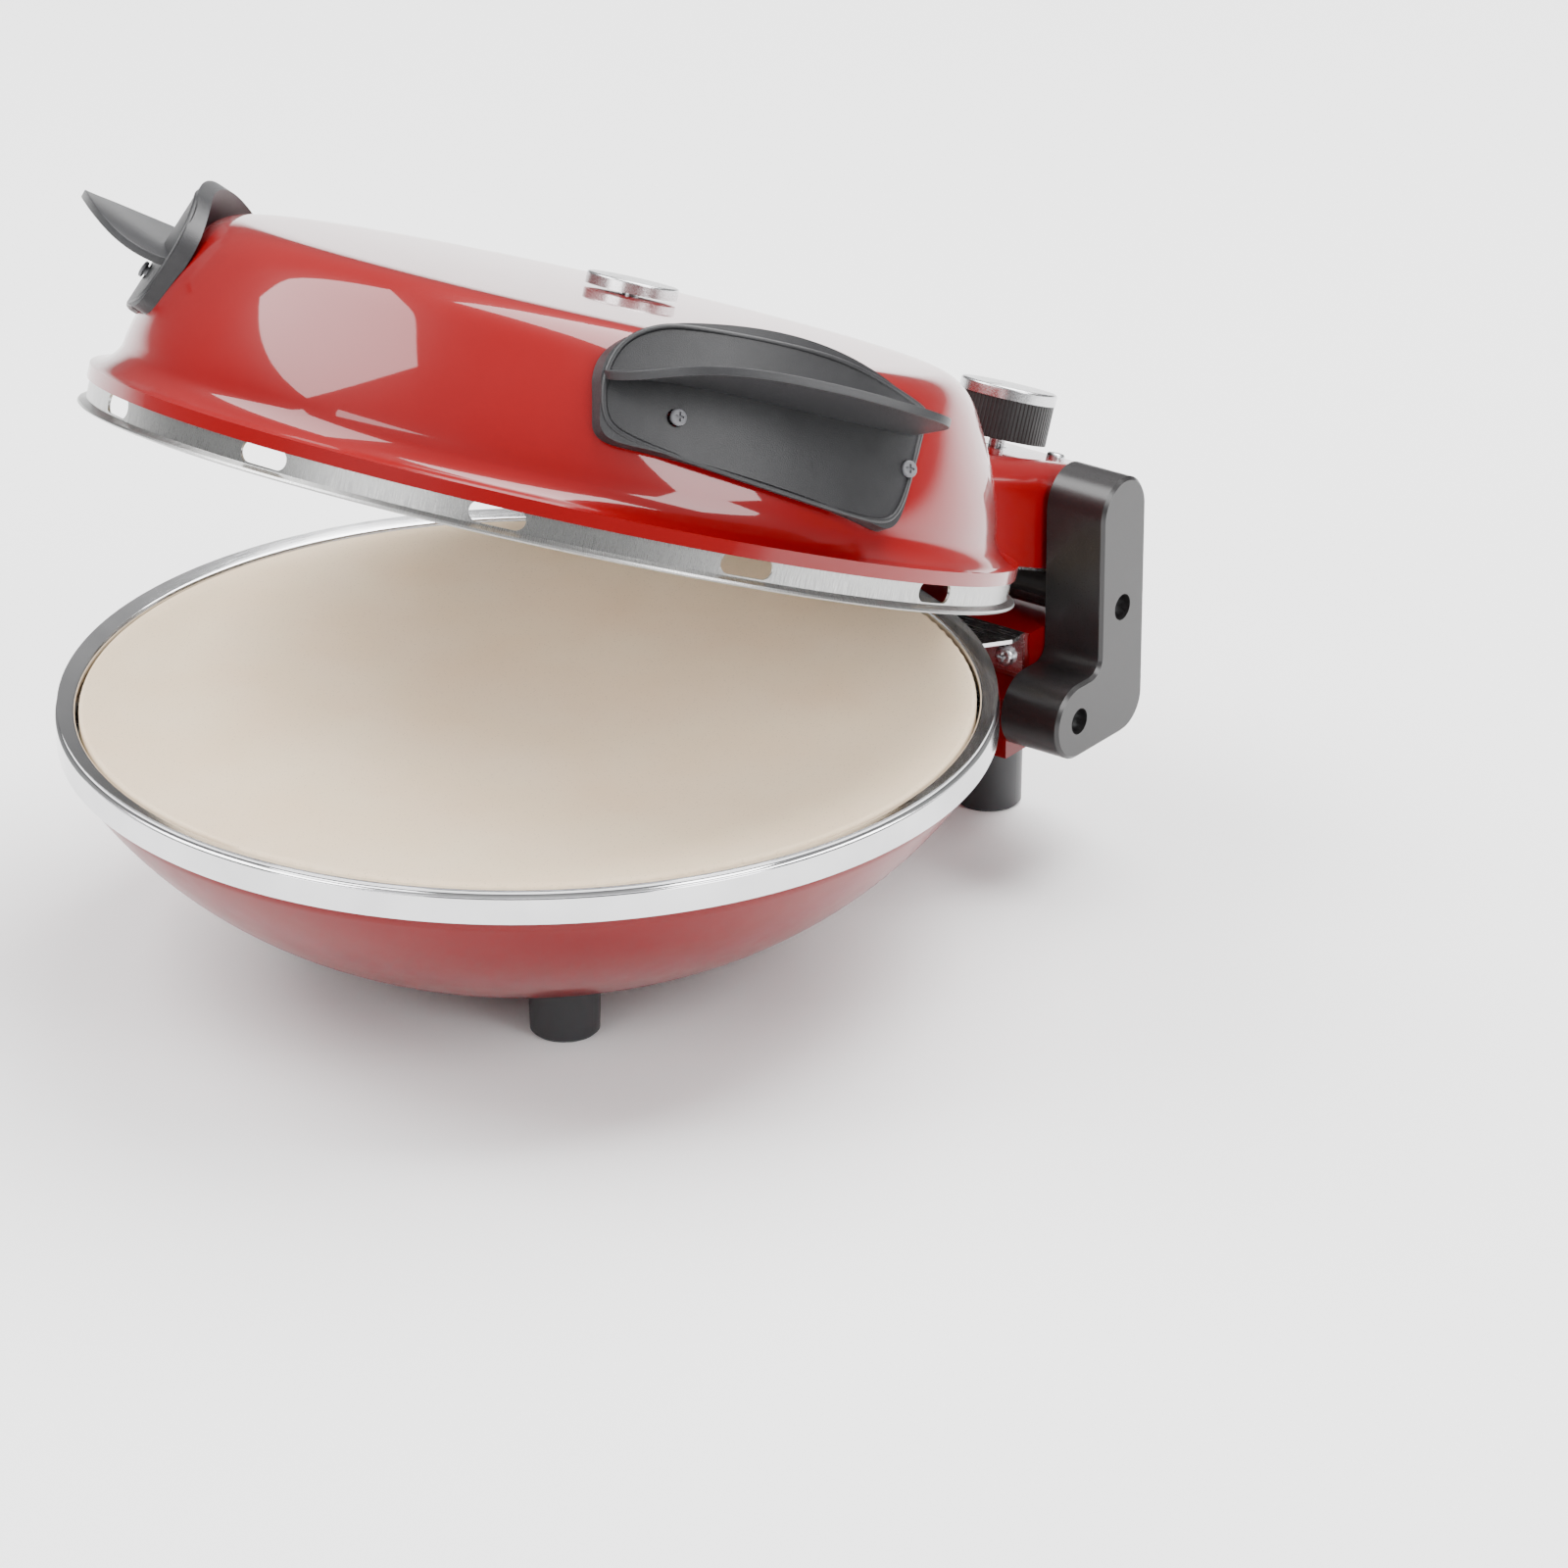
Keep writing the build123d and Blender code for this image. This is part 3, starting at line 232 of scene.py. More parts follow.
@dataclass(frozen=True)
class Finish:
    """One procedural surface finish.

    Args:
        name: Material name.
        light: Lighter RGB.
        dark: Darker RGB that shows in patches.
        metallic: 0 to 1.
        rough: Lowest and highest roughness.
        patch_scale: Scale of the colour patches, per metre.
        grain: Direction of the fine texture.
        grain_scale: Scale of the fine texture, per metre.
        bump: Bump strength.
        depth: Bump depth in metres.
        coat: Clear coat weight.
        on_lid: The texture follows the tilted lid.
        specks: RGB of small specks, or None.
        streaked: The colour follows the grain's lines.
    """

    name: str
    light: Colour
    dark: Colour
    metallic: float = 0.0
    rough: tuple[float, float] = (0.4, 0.5)
    patch_scale: float = 40.0
    grain: Grain = Grain.EVEN
    grain_scale: float = 900.0
    bump: float = 0.1
    depth: float = 0.0002
    coat: float = 0.0
    on_lid: bool = False
    specks: Colour | None = None
    streaked: bool = False

    def place(self, graph: Graph, tilt: "Tilt") -> bpy.types.NodeSocket:
        """Give the coordinates that the texture is read at.

        Args:
            graph: The material's graph.
            tilt: The lid's turn about its hinge.

        Returns:
            A vector socket, in metres, in the piece's own upright frame.
        """
        coordinates = graph.node("ShaderNodeTexCoord").outputs["Object"]
        if not self.on_lid:
            return coordinates
        mapping = graph.node("ShaderNodeMapping", vector_type="TEXTURE")
        mapping.inputs["Location"].default_value = tilt.matrix.to_translation()
        mapping.inputs["Rotation"].default_value = tilt.matrix.to_euler()
        graph.link(coordinates, mapping.inputs["Vector"])
        return mapping.outputs["Vector"]

    def grain_vector(
        self, graph: Graph, where: bpy.types.NodeSocket, centre: Vector
    ) -> bpy.types.NodeSocket:
        """Stretch the coordinates along the grain.

        Args:
            graph: The material's graph.
            where: Coordinates in metres.
            centre: Middle of the oven's round body.

        Returns:
            A vector socket for the fine noise.
        """
        if self.grain is Grain.EVEN:
            return where
        split = graph.node("ShaderNodeSeparateXYZ")
        graph.link(where, split.inputs[0])
        x, y, z = split.outputs
        join = graph.node("ShaderNodeCombineXYZ")
        if self.grain is Grain.ALONG_X:
            parts = (graph.maths("MULTIPLY", x, ALONG), y, z)
        else:
            off_y = graph.maths("SUBTRACT", y, centre.y)
            angle = graph.maths("ARCTAN2", off_y, x)
            squares = graph.maths("ADD", graph.maths("POWER", x, 2.0), graph.maths("POWER", off_y, 2.0))
            radius = graph.maths("SQRT", squares)
            if self.grain is Grain.ROUND:
                parts = (graph.maths("MULTIPLY", angle, ROUND_SPAN), radius, z)
            else:
                height = graph.maths("MULTIPLY", z, ALONG)
                parts = (graph.maths("MULTIPLY", angle, UPRIGHT_SPAN), 0.0, height)
        for slot, value in zip(join.inputs, parts):
            if isinstance(value, bpy.types.NodeSocket):
                graph.link(value, slot)
        return join.outputs[0]

    def make(self, tilt: "Tilt", centre: Vector) -> bpy.types.Material:
        """Build the material.

        Args:
            tilt: The lid's turn about its hinge.
            centre: Middle of the oven's round body.

        Returns:
            The material.
        """
        graph = Graph(self.name)
        shader = graph.shader
        shader.inputs["Metallic"].default_value = self.metallic
        shader.inputs["Coat Weight"].default_value = self.coat
        shader.inputs["Coat Roughness"].default_value = COAT_ROUGH
        if self.coat > 0.0:
            shader.inputs["Specular IOR Level"].default_value = COATED_SPECULAR
        where = self.place(graph, tilt)
        fine = graph.noise(self.grain_vector(graph, where, centre), self.grain_scale, 4.0, 0.6)
        patches = fine if self.streaked else graph.noise(where, self.patch_scale, 4.0)
        colour = graph.mix(graph.span(patches, 0.0, 1.0), self.light, self.dark)
        if self.specks:
            dots = graph.node("ShaderNodeTexVoronoi", feature="F1")
            dots.inputs["Scale"].default_value = self.grain_scale * SPECK_SCALE
            graph.link(where, dots.inputs["Vector"])
            mask = graph.maths("LESS_THAN", dots.outputs["Distance"], SPECK_SIZE)
            blend = graph.node("ShaderNodeMix", data_type="RGBA")
            graph.link(graph.maths("MULTIPLY", mask, SPECK_SHARE), blend.inputs["Factor"])
            graph.link(colour, blend.inputs["A"])
            blend.inputs["B"].default_value = (*self.specks, 1.0)
            colour = blend.outputs["Result"]
        graph.link(colour, shader.inputs["Base Color"])
        graph.link(graph.span(fine, *self.rough), shader.inputs["Roughness"])
        graph.bump(fine, self.bump, self.depth)
        return graph.material


# ---- Finishes -------------------------------------------------------------------------------

RED = dict(rough=(0.30, 0.36), patch_scale=9.0, grain_scale=60.0, bump=0.012, depth=0.0003)
FINISHES = {
    # painted shade: the base's red is the lid's enamel made darker, to stand in for the shade on the lower
    # bowl and the rear housing
    "red_base_painted_shade": Finish("red_enamel_base_painted_shade", (0.16, 0.0, 0.0012), (0.14, 0.0, 0.0010), coat=0.4, **RED),
    "red_lid": Finish("red_enamel_lid", (0.21, 0.0, 0.0015), (0.185, 0.0, 0.0013), coat=0.8,
                      on_lid=True, **RED),
    "polished": Finish("polished_steel", (0.70, 0.70, 0.71), (0.58, 0.58, 0.59), 1.0, (0.06, 0.14),
                       30.0, Grain.ROUND, 2500.0, 0.05, 0.0001),
    "band": Finish("brushed_band", (0.54, 0.54, 0.53), (0.24, 0.24, 0.24), 1.0, (0.20, 0.38),
                   25.0, Grain.UPRIGHT, 5200.0, 0.16, 0.00012, on_lid=True, streaked=True),
    "stone": Finish("cordierite_stone", (0.98, 0.80, 0.58), (0.95, 0.74, 0.51), 0.0, (0.75, 0.95),
                    22.0, Grain.EVEN, 1500.0, 0.35, 0.0003, specks=(0.62, 0.47, 0.33)),
    "arm": Finish("arm_plastic", (0.016, 0.0145, 0.015), (0.012, 0.011, 0.0115), 0.0, (0.26, 0.36),
                  30.0, Grain.EVEN, 3200.0, 0.10, 0.00008),
    "foot": Finish("foot_plastic", (0.024, 0.025, 0.028), (0.018, 0.019, 0.021), 0.0, (0.34, 0.46),
                   50.0, Grain.EVEN, 3200.0, 0.12, 0.0001),
    "handle": Finish("handle_plastic", (0.020, 0.020, 0.022), (0.013, 0.013, 0.0145), 0.0, (0.36, 0.50),
                     60.0, Grain.EVEN, 2400.0, 0.45, 0.00022, on_lid=True),
    "plug": Finish("plug_plastic", (0.14, 0.14, 0.15), (0.11, 0.11, 0.12), 0.0, (0.35, 0.5),
                   200.0, Grain.EVEN, 3000.0, 0.15, 0.0001, on_lid=True),
    "knob": Finish("knob_plastic", (0.016, 0.016, 0.016), (0.010, 0.010, 0.010), 0.0, (0.38, 0.5),
                   90.0, Grain.EVEN, 3500.0, 0.15, 0.0001, on_lid=True),
    "spun": Finish("spun_metal", (0.68, 0.68, 0.69), (0.58, 0.58, 0.59), 1.0, (0.20, 0.32),
                   60.0, Grain.EVEN, 1800.0, 0.05, 0.0001, on_lid=True),
    "bright": Finish("bright_steel", (0.78, 0.78, 0.79), (0.68, 0.68, 0.69), 1.0, (0.16, 0.30),
                     35.0, Grain.ALONG_X, 2200.0, 0.08, 0.0001),
    "zinc": Finish("zinc_steel", (0.72, 0.73, 0.75), (0.60, 0.61, 0.62), 1.0, (0.22, 0.36),
                   120.0, Grain.EVEN, 1500.0, 0.12, 0.0001),
    "reflector": Finish("reflector_aluminium", (0.74, 0.74, 0.75), (0.64, 0.64, 0.65), 1.0, (0.20, 0.32),
                        18.0, Grain.EVEN, 160.0, 0.03, 0.0002, on_lid=True),
    "sheath": Finish("heater_sheath", (0.20, 0.19, 0.18), (0.12, 0.11, 0.10), 0.6, (0.45, 0.65),
                     60.0, Grain.EVEN, 1200.0, 0.3, 0.0002),
    "gloss_dark": Finish("dark_gloss", (0.020, 0.018, 0.018), (0.014, 0.012, 0.012), 0.0, (0.10, 0.18),
                         20.0, Grain.EVEN, 500.0, 0.04, 0.0001, coat=0.6, on_lid=True),
    "ceramic": Finish("ceramic_bush", (0.86, 0.84, 0.79), (0.78, 0.75, 0.69), 0.0, (0.5, 0.7),
                      90.0, Grain.EVEN, 1600.0, 0.2, 0.0001),
    "control": Finish("control_moulding", (0.78, 0.75, 0.68), (0.70, 0.67, 0.60), 0.0, (0.4, 0.55),
                      60.0, Grain.EVEN, 2000.0, 0.15, 0.0001),
    "brass": Finish("turned_brass", (0.80, 0.60, 0.25), (0.68, 0.48, 0.18), 1.0, (0.2, 0.34),
                    90.0, Grain.ALONG_X, 2000.0, 0.1, 0.0001),
    "rubber": Finish("gland_rubber", (0.025, 0.025, 0.025), (0.018, 0.018, 0.018), 0.0, (0.6, 0.75),
                     60.0, Grain.EVEN, 2000.0, 0.3, 0.0001),
    "nylon": Finish("washer_nylon", (0.80, 0.79, 0.74), (0.72, 0.71, 0.66), 0.0, (0.4, 0.5),
                    90.0, Grain.EVEN, 2000.0, 0.1, 0.0001),
}

SLOT_FINISH = {
    "polished_steel": "polished", "brushed_aluminium": "band", "stone": "stone", "zinc_steel": "zinc",
    "bright_steel": "bright", "reflector_aluminium": "reflector", "heater_sheath": "sheath",
    "ceramic": "ceramic", "brass": "brass", "foot_plastic": "foot", "arm_plastic": "arm",
    "dark_gloss": "gloss_dark", "screw_plug": "plug", "handle_plastic": "handle", "knob_metal": "spun",
    "knob_plastic": "knob", "control_plastic": "control", "gland_rubber": "rubber",
    "washer_nylon": "nylon",
}


# ---- Places read from the frame ---------------------------------------------------------------


@dataclass
class Tilt:
    """The lid's turn from shut to its stored, open place.

    Args:
        pivot: A point on the hinge line.
        angle: Opening angle in radians.
    """

    pivot: Vector
    angle: float
    matrix: Matrix = field(init=False)

    def __post_init__(self) -> None:
        """Work out the matrix that opens the lid."""
        to_pivot = Matrix.Translation(self.pivot)
        self.matrix = to_pivot @ Matrix.Rotation(-self.angle, 4, "X") @ to_pivot.inverted()


class Layout:
    """Positions that the pieces share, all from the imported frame."""

    def __init__(self, frame: dict) -> None:
        """Read the frame.
        """
        hinge = next(j for j in frame["joints"] if j["name"] == "lid_hinge")
        low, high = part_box("lower_rim_ring")
        self.rim = Vector(((low[0] + high[0]) / 2, (low[1] + high[1]) / 2, high[2]))
        self.tilt = Tilt(Vector(hinge["pos_m"]), math.radians(-hinge["range_deg"][0]))

    def place(self, on_lid: bool) -> Matrix:
        """Matrix from the rim's centre, lid shut, to the stored place.

        Args:
            on_lid: Whether the piece opens with the lid.

        Returns:
            The matrix.
        """
        to_rim = Matrix.Translation(self.rim)
        return self.tilt.matrix @ to_rim if on_lid else to_rim


class FinishShelf:
    """Makes each finish once and hands it out."""

    def __init__(self, layout: Layout) -> None:
        """Remember where the pieces are.

        Args:
            layout: Shared positions.
        """
        self.layout = layout
        self.made: dict[str, bpy.types.Material] = {}

    def get(self, key: str) -> bpy.types.Material:
        """Give a finish's material.

        Args:
            key: Key in FINISHES.

        Returns:
            The material.
        """
        if key not in self.made:
            self.made[key] = FINISHES[key].make(self.layout.tilt, self.layout.rim)
        return self.made[key]


def dress_frame(frame: dict, shelf: FinishShelf) -> None:
    """Give every CAD node its finish.

    Args:
        shelf: The finishes.
    """
    lid_nodes = set(frame["record"]["behaviour"]["bodies"]["lid"])
    for entry in frame["record"]["subparts"]:
        node, slot = entry["node"], entry["material_slot"]
        # red nodes that do not open with the lid get the darker red, which is painted shade
        key = SLOT_FINISH.get(slot, "red_lid" if node in lid_nodes else "red_base_painted_shade")
        piece = frame["nodes"][node]
        for index in range(len(piece.material_slots)):
            piece.material_slots[index].material = shelf.get(key)
    LOG.info("dressed %d frame nodes", len(frame["nodes"]))


# ---- Spun shells -------------------------------------------------------------------------------


def arc(start: Point, middle: Point, end: Point, count: int) -> Profile:
    """Sample a circular arc through three points.

    Args:
        start: First (radius, height), in millimetres.
        middle: A point on the arc.
        end: Last point.
        count: Number of spaces between samples.

    Returns:
        The points after start, up to end.
    """
    a, b, c = Vector(start), Vector(middle), Vector(end)
    ab, ac = b - a, c - a
    twice = 2.0 * (ab.x * ac.y - ab.y * ac.x)
    centre = a + Vector((ac.y * ab.length_squared - ab.y * ac.length_squared,
                         ab.x * ac.length_squared - ac.x * ab.length_squared)) / twice
    first, last = a - centre, c - centre
    sweep = first.angle_signed(last)
    turned = [centre + Matrix.Rotation(-sweep * i / count, 2) @ first for i in range(1, count + 1)]
    return [tuple(point) for point in turned]


def bend(start: Point, pull: Point, push: Point, end: Point, count: int) -> Profile:
    """Sample a Bezier bend between two points.

    Args:
        start: First (radius, height), in millimetres.
        pull: Handle beside the first point.
        push: Handle beside the last point.
        end: Last point.
        count: Number of spaces between samples.

    Returns:
        The points after start, up to end.
    """
    knots = [Vector(point) for point in (start, pull, push, end)]
    return [tuple(point) for point in interpolate_bezier(*knots, count + 1)[1:]]


def finish_mesh(grid: bmesh.types.BMesh, name: str, corner: float = 35.0) -> bpy.types.Object:
    """Turn a bmesh into a linked object with smooth faces and sharp corners.

    Args:
        grid: The mesh, in metres; it is freed.
        name: Object name.
        corner: Angle in degrees past which an edge stays sharp.

    Returns:
        The object.
    """
    limit = math.radians(corner)
    for face in grid.faces:
        face.smooth = True
    for edge in grid.edges:
        edge.smooth = len(edge.link_faces) != 2 or edge.calc_face_angle() < limit
    mesh = bpy.data.meshes.new(name)
    grid.to_mesh(mesh)
    grid.free()
    piece = bpy.data.objects.new(name, mesh)
    bpy.context.collection.objects.link(piece)
    return piece


@dataclass
class SpunPiece:
    """A turned or pressed round piece, made by spinning its closed section.

    Args:
        name: Piece name.
        node: CAD node that it stands for.
        section: Closed (radius, height) outline in millimetres, from the rim's centre.
        finish: Key in FINISHES.
        slot: The record's material slot; not used.
        on_lid: Built on the shut lid, then opened with it.
        steps: Steps round the axis.
    """

    name: str
    node: str
    section: Profile
    finish: str
    slot: str
    on_lid: bool = False
    steps: int = 240

    def build(self, layout: Layout) -> bpy.types.Object:
        """Spin the section.

        Args:
            layout: Shared positions.

        Returns:
            The piece.
        """
        grid = bmesh.new()
        verts = [grid.verts.new((r * MM, 0.0, z * MM)) for r, z in self.section]
        edges = [grid.edges.new((a, b)) for a, b in zip(verts, verts[1:] + verts[:1])
                 if a.co.x > 0.0 or b.co.x > 0.0]
        bmesh.ops.spin(grid, geom=verts + edges, cent=(0, 0, 0), axis=(0, 0, 1), angle=math.tau,
                       steps=self.steps, use_merge=True)
        bmesh.ops.remove_doubles(grid, verts=grid.verts, dist=MERGE)
        bmesh.ops.dissolve_degenerate(grid, edges=grid.edges, dist=1e-8)
        bmesh.ops.recalc_face_normals(grid, faces=grid.faces)
        bmesh.ops.transform(grid, matrix=layout.place(self.on_lid), verts=grid.verts)
        return finish_mesh(grid, self.name)

    def dress(self, piece: bpy.types.Object, shelf: FinishShelf) -> None:
        """Give the piece its finish, body and node.

        Args:
            piece: What build() made.
            shelf: The finishes.
        """
        piece.data.materials.append(shelf.get(self.finish))
        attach(piece, "lid" if self.on_lid else "base")
        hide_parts(self.node)
        LOG.info("spun %s for %s", self.name, self.node)


@dataclass
class Shells:
    """The round red shells and the polished rim.

    Args:
        sheet: Thickness of the pressed sheet, in millimetres.
        dome_top: Height of the dome's middle on the shut lid.
        bowl_flat: Height of the bowl's flat floor.
        bowl_wall: Radius of the bowl's upright edge.
    """

    sheet: float = 1.0
    dome_top: float = 74.6
    bowl_flat: float = -79.0
    bowl_wall: float = 161.0

    def dome_line(self, grow: float) -> Profile:
        """Outline of the dome from its lip to its middle.

        Args:
            grow: Offset outwards in millimetres.

        Returns:
            Points from the lip to the axis.
        """
        lip, foot, top = 162.6 + grow, 152.9 + grow, self.dome_top + grow
        line = [(lip, 9.5), (lip, 14.2 + grow)]
        line += arc(line[-1], (156.4 + grow, 17.0 + grow), (foot, 22.6), 8)
        line += bend(line[-1], (foot - 1.3, 36.0), (141.5 + grow, 55.0),
                     (137.2 + grow * 0.8, 62.0 + grow * 0.6), 14)
        line += bend(line[-1], (134.4 + grow * 0.8, 66.6 + grow * 0.6), (129.5 + grow * 0.4, 72.3 + grow),
                     (122.0 + grow * 0.2, 73.0 + grow), 10)
        line += arc(line[-1], (61.0, 74.2 + grow), (0.0, top), 12)
        return line

    def bowl_line(self, grow: float) -> Profile:
        """Outline of the bowl from its upright edge to its middle.

        Args:
            grow: Offset outwards in millimetres.

        Returns:
            Points from the edge to the axis.
        """
        wall, flat = self.bowl_wall + grow, self.bowl_flat - grow
        line = [(wall, -4.0), (wall, -14.0)]
        line += arc(line[-1], (125.0 + grow * 0.6, -54.2 - grow * 0.85), (80.0 + grow * 0.4, flat), 28)
        return line + [(40.0, flat), (0.0, flat)]

    def pieces(self) -> list[SpunPiece]:
        """List the spun pieces.

        Returns:
            The pieces, with their sections.
        """
        dome = self.dome_line(0.0) + self.dome_line(-self.sheet)[::-1]
        bowl = self.bowl_line(0.0) + self.bowl_line(-self.sheet)[::-1]
        return [
            SpunPiece("dome_shell", "lid_dome", dome, "red_lid", "red_enamel", on_lid=True),
            # the bowl gets the darker red, which is painted shade
            SpunPiece("bowl_shell", "lower_bowl", bowl, "red_base_painted_shade", "red_enamel"),
            SpunPiece("rim_ring", "lower_rim_ring", self.rim_section(), "polished", "polished_steel"),
        ]

    def rim_section(self) -> Profile:
        """Section of the polished rim: rolled bead, sloping flange and upright band.

        Returns:
            The closed section's points.
        """
        line = [(156.2, -6.0), (156.2, -3.2)]
        line += bend(line[-1], (156.4, -2.4), (156.8, -2.1), (157.6, -1.85), 5)
        line += bend(line[-1], (159.2, -1.3), (161.0, -0.7), (162.4, -0.25), 5)
        line += arc(line[-1], (164.95, -1.7), (163.0, -3.6), 16)
        line += [(163.0, -12.5), (162.0, -12.5), (162.0, -3.2)]
        return line + [(157.6, -3.2), (157.2, -3.6), (157.2, -6.0)]

    def build(self, layout: Layout, shelf: FinishShelf) -> None:
        """Build and dress every shell.

        Args:
            layout: Shared positions.
            shelf: The finishes.
        """
        for piece in self.pieces():
            piece.dress(piece.build(layout), shelf)


# ---- Side handles ------------------------------------------------------------------------------


@dataclass(frozen=True)
class BladeRow:
    """One cut across the blade.

    Args:
        along: Distance along the wall at the root, in millimetres, to the rear.
        rise: Height of the root above the handle's middle.
        reach: Distance outwards from the shield to the outer edge.
        tilt: Upward tilt in degrees.
        sweep: How far the outer edge lies in front of the root.
    """

    along: float
    rise: float
    reach: float
    tilt: float
    sweep: float = 0.0


@dataclass
class SideHandles:
    """The two side handles: a rounded, slightly twisted blade and a raised rim round its shield.

    Args:
        azimuth: Place round the lid, in degrees from the front.
        height: Height of the handle's middle on the shut lid, in millimetres.
        wall_r: Radius of the dome's wall at height wall_z.
        wall_z: Height at which wall_r holds.
        wall_slope: How much the wall leans in for each millimetre of height.
        wall_lean: The same lean in degrees.
        shield: Thickness of the shield and its gap.
        thick: Blade thickness.
        edge: Rounding of the blade's edges.
        root_depth: How far the blade's root sinks into the shield.
        bead: Radius of the shield's raised rim.
        bead_sink: How far the rim's middle sinks into the shield.
        rows: Cuts across the blade, from front to rear.
        outline: Corners of the shield's raised rim, along the wall and up it.
    """

    azimuth: float = 63.0
    height: float = 53.0
    wall_r: float = 159.5
    wall_z: float = 5.0
    wall_slope: float = 0.3706
    wall_lean: float = 20.0
    shield: float = 6.6
    thick: float = 3.0
    edge: float = 0.8
    root_depth: float = 2.0
    bead: float = 1.1
    bead_sink: float = 0.25
    rows: tuple[BladeRow, ...] = (
        BladeRow(-60.0, 3.0, 4.0, 4.0), BladeRow(-58.0, 3.4, 11.0, 6.0), BladeRow(-53.0, 4.4, 18.5, 10.0),
        BladeRow(-45.0, 5.6, 24.5, 14.0), BladeRow(-34.0, 6.2, 28.5, 16.5), BladeRow(-20.0, 6.2, 31.5, 17.5),
        BladeRow(-5.0, 5.7, 34.0, 17.0, 1.0), BladeRow(10.0, 5.0, 37.5, 16.0, 2.0),
        BladeRow(24.0, 4.4, 41.0, 14.0, 4.0), BladeRow(37.0, 3.8, 44.0, 12.5, 6.0),
        BladeRow(47.0, 3.3, 45.0, 11.5, 8.5), BladeRow(54.0, 3.0, 43.5, 11.0, 10.5),
        BladeRow(57.0, 2.8, 39.0, 10.5, 10.5),
    )
    outline: tuple[Point, ...] = (
        (-60.0, -8.0), (-60.2, 4.0), (-56.5, 14.0), (-51.0, 20.2), (-42.0, 24.9), (-33.0, 26.1),
        (-12.0, 26.6), (10.0, 26.0), (26.0, 24.0), (45.0, 18.6), (61.6, 12.6), (62.4, 11.0),
        (57.6, -3.0), (53.0, -17.0), (48.6, -25.0), (41.6, -28.0), (20.0, -25.0), (-20.0, -19.6),
        (-48.0, -15.6), (-57.0, -12.6),
    )

    def on_shield(
        self, side: int, along: float, rise: float, out: float, up: float = 0.0
    ) -> Vector:
        """Place a point from the shield's surface.

        Args:
            side: 1 for the right handle, -1 for the left.
            along: Distance along the wall to the rear, in millimetres.
            rise: Height above the handle's middle at which the surface is met.
            out: Distance outwards from the surface.
            up: Distance upwards from there.

        Returns:
            The point in millimetres from the rim's centre, lid shut.
        """
        turn = math.radians(self.azimuth)
        z = self.height + rise
        wall = self.wall_r + self.shield - self.wall_slope * (z - self.wall_z)
        away = math.sqrt(wall**2 - along**2) + out
        x = math.sin(turn) * away + math.cos(turn) * along
        y = -math.cos(turn) * away + math.sin(turn) * along
        return Vector((side * x, y, z + up))

    def blade_point(self, side: int, row: BladeRow, share: float) -> Vector:
        """Place one point of the blade.

        Args:
            side: 1 for the right grip, -1 for the left.
            row: The cut that the point is on.
            share: 0 at the root, 1 at the outer edge.

        Returns:
            The point in millimetres from the rim's centre, lid shut.
        """
        lean, turn = math.radians(row.tilt), math.radians(self.azimuth)
        reach = (row.reach + self.root_depth) * share - self.root_depth
        out, up = reach * math.cos(lean), reach * math.sin(lean)
        root = self.on_shield(side, row.along, row.rise, out, up)
        forward = Vector((-side * math.cos(turn), -math.sin(turn), 0.0))
        return root + forward * row.sweep * share

    def blade(self, side: int, layout: Layout) -> bpy.types.Object:
        """Model one blade.

        Args:
            side: 1 for the right grip, -1 for the left.
            layout: Shared positions.

        Returns:
            The blade.
        """
        last = len(self.rows) - 1
        grid = bmesh.new()
        made = bmesh.ops.create_grid(grid, x_segments=last, y_segments=6, size=1.0)
        for vert in made["verts"]:
            row = self.rows[round((vert.co.x + 1.0) / 2.0 * last)]
            vert.co = self.blade_point(side, row, (vert.co.y + 1.0) / 2.0) * MM
        bmesh.ops.recalc_face_normals(grid, faces=grid.faces)
        bmesh.ops.solidify(grid, geom=grid.faces, thickness=self.thick * MM)
        bmesh.ops.recalc_face_normals(grid, faces=grid.faces)
        rim = [edge for edge in grid.edges if edge.is_manifold and edge.calc_face_angle() > 1.0]
        bmesh.ops.bevel(grid, geom=rim, offset=self.edge * MM, offset_type="OFFSET", affect="EDGES",
                        segments=2, profile=0.5, material=-1, clamp_overlap=True)
        bmesh.ops.transform(grid, matrix=layout.place(True), verts=grid.verts)
        piece = finish_mesh(grid, f"grip_blade_{Side(side).name.lower()}", 60.0)
        smooth = piece.modifiers.new("smooth", "SUBSURF")
        smooth.levels = smooth.render_levels = 2
        return piece

    def rim(self, side: int, layout: Layout) -> bpy.types.Object:
        """Model the raised rim round one shield.

        Args:
            side: 1 for the right handle, -1 for the left.
            layout: Shared positions.

        Returns:
            The rim, as a mesh tube.
        """
        curve = bpy.data.curves.new("rim_path", "CURVE")
        curve.dimensions = "3D"
        curve.bevel_depth = self.bead * MM
        curve.bevel_resolution = 3
        curve.resolution_u = 8
        line = curve.splines.new("NURBS")
        line.points.add(len(self.outline) - 1)
        up_wall = math.cos(math.radians(self.wall_lean))
        for point, (along, rise) in zip(line.points, self.outline):
            place = self.on_shield(side, along, rise * up_wall, -self.bead_sink)
            point.co = (*(layout.place(True) @ (place * MM)), 1.0)
        line.use_cyclic_u = True
        line.order_u = 4
        path = bpy.data.objects.new("rim_path", curve)
        bpy.context.collection.objects.link(path)
        mesh = bpy.data.meshes.new_from_object(path)
        bpy.data.objects.remove(path)
        grid = bmesh.new()
        grid.from_mesh(mesh)
        bmesh.ops.remove_doubles(grid, verts=grid.verts, dist=MERGE)
        bmesh.ops.recalc_face_normals(grid, faces=grid.faces)
        return finish_mesh(grid, f"shield_rim_{Side(side).name.lower()}", 60.0)

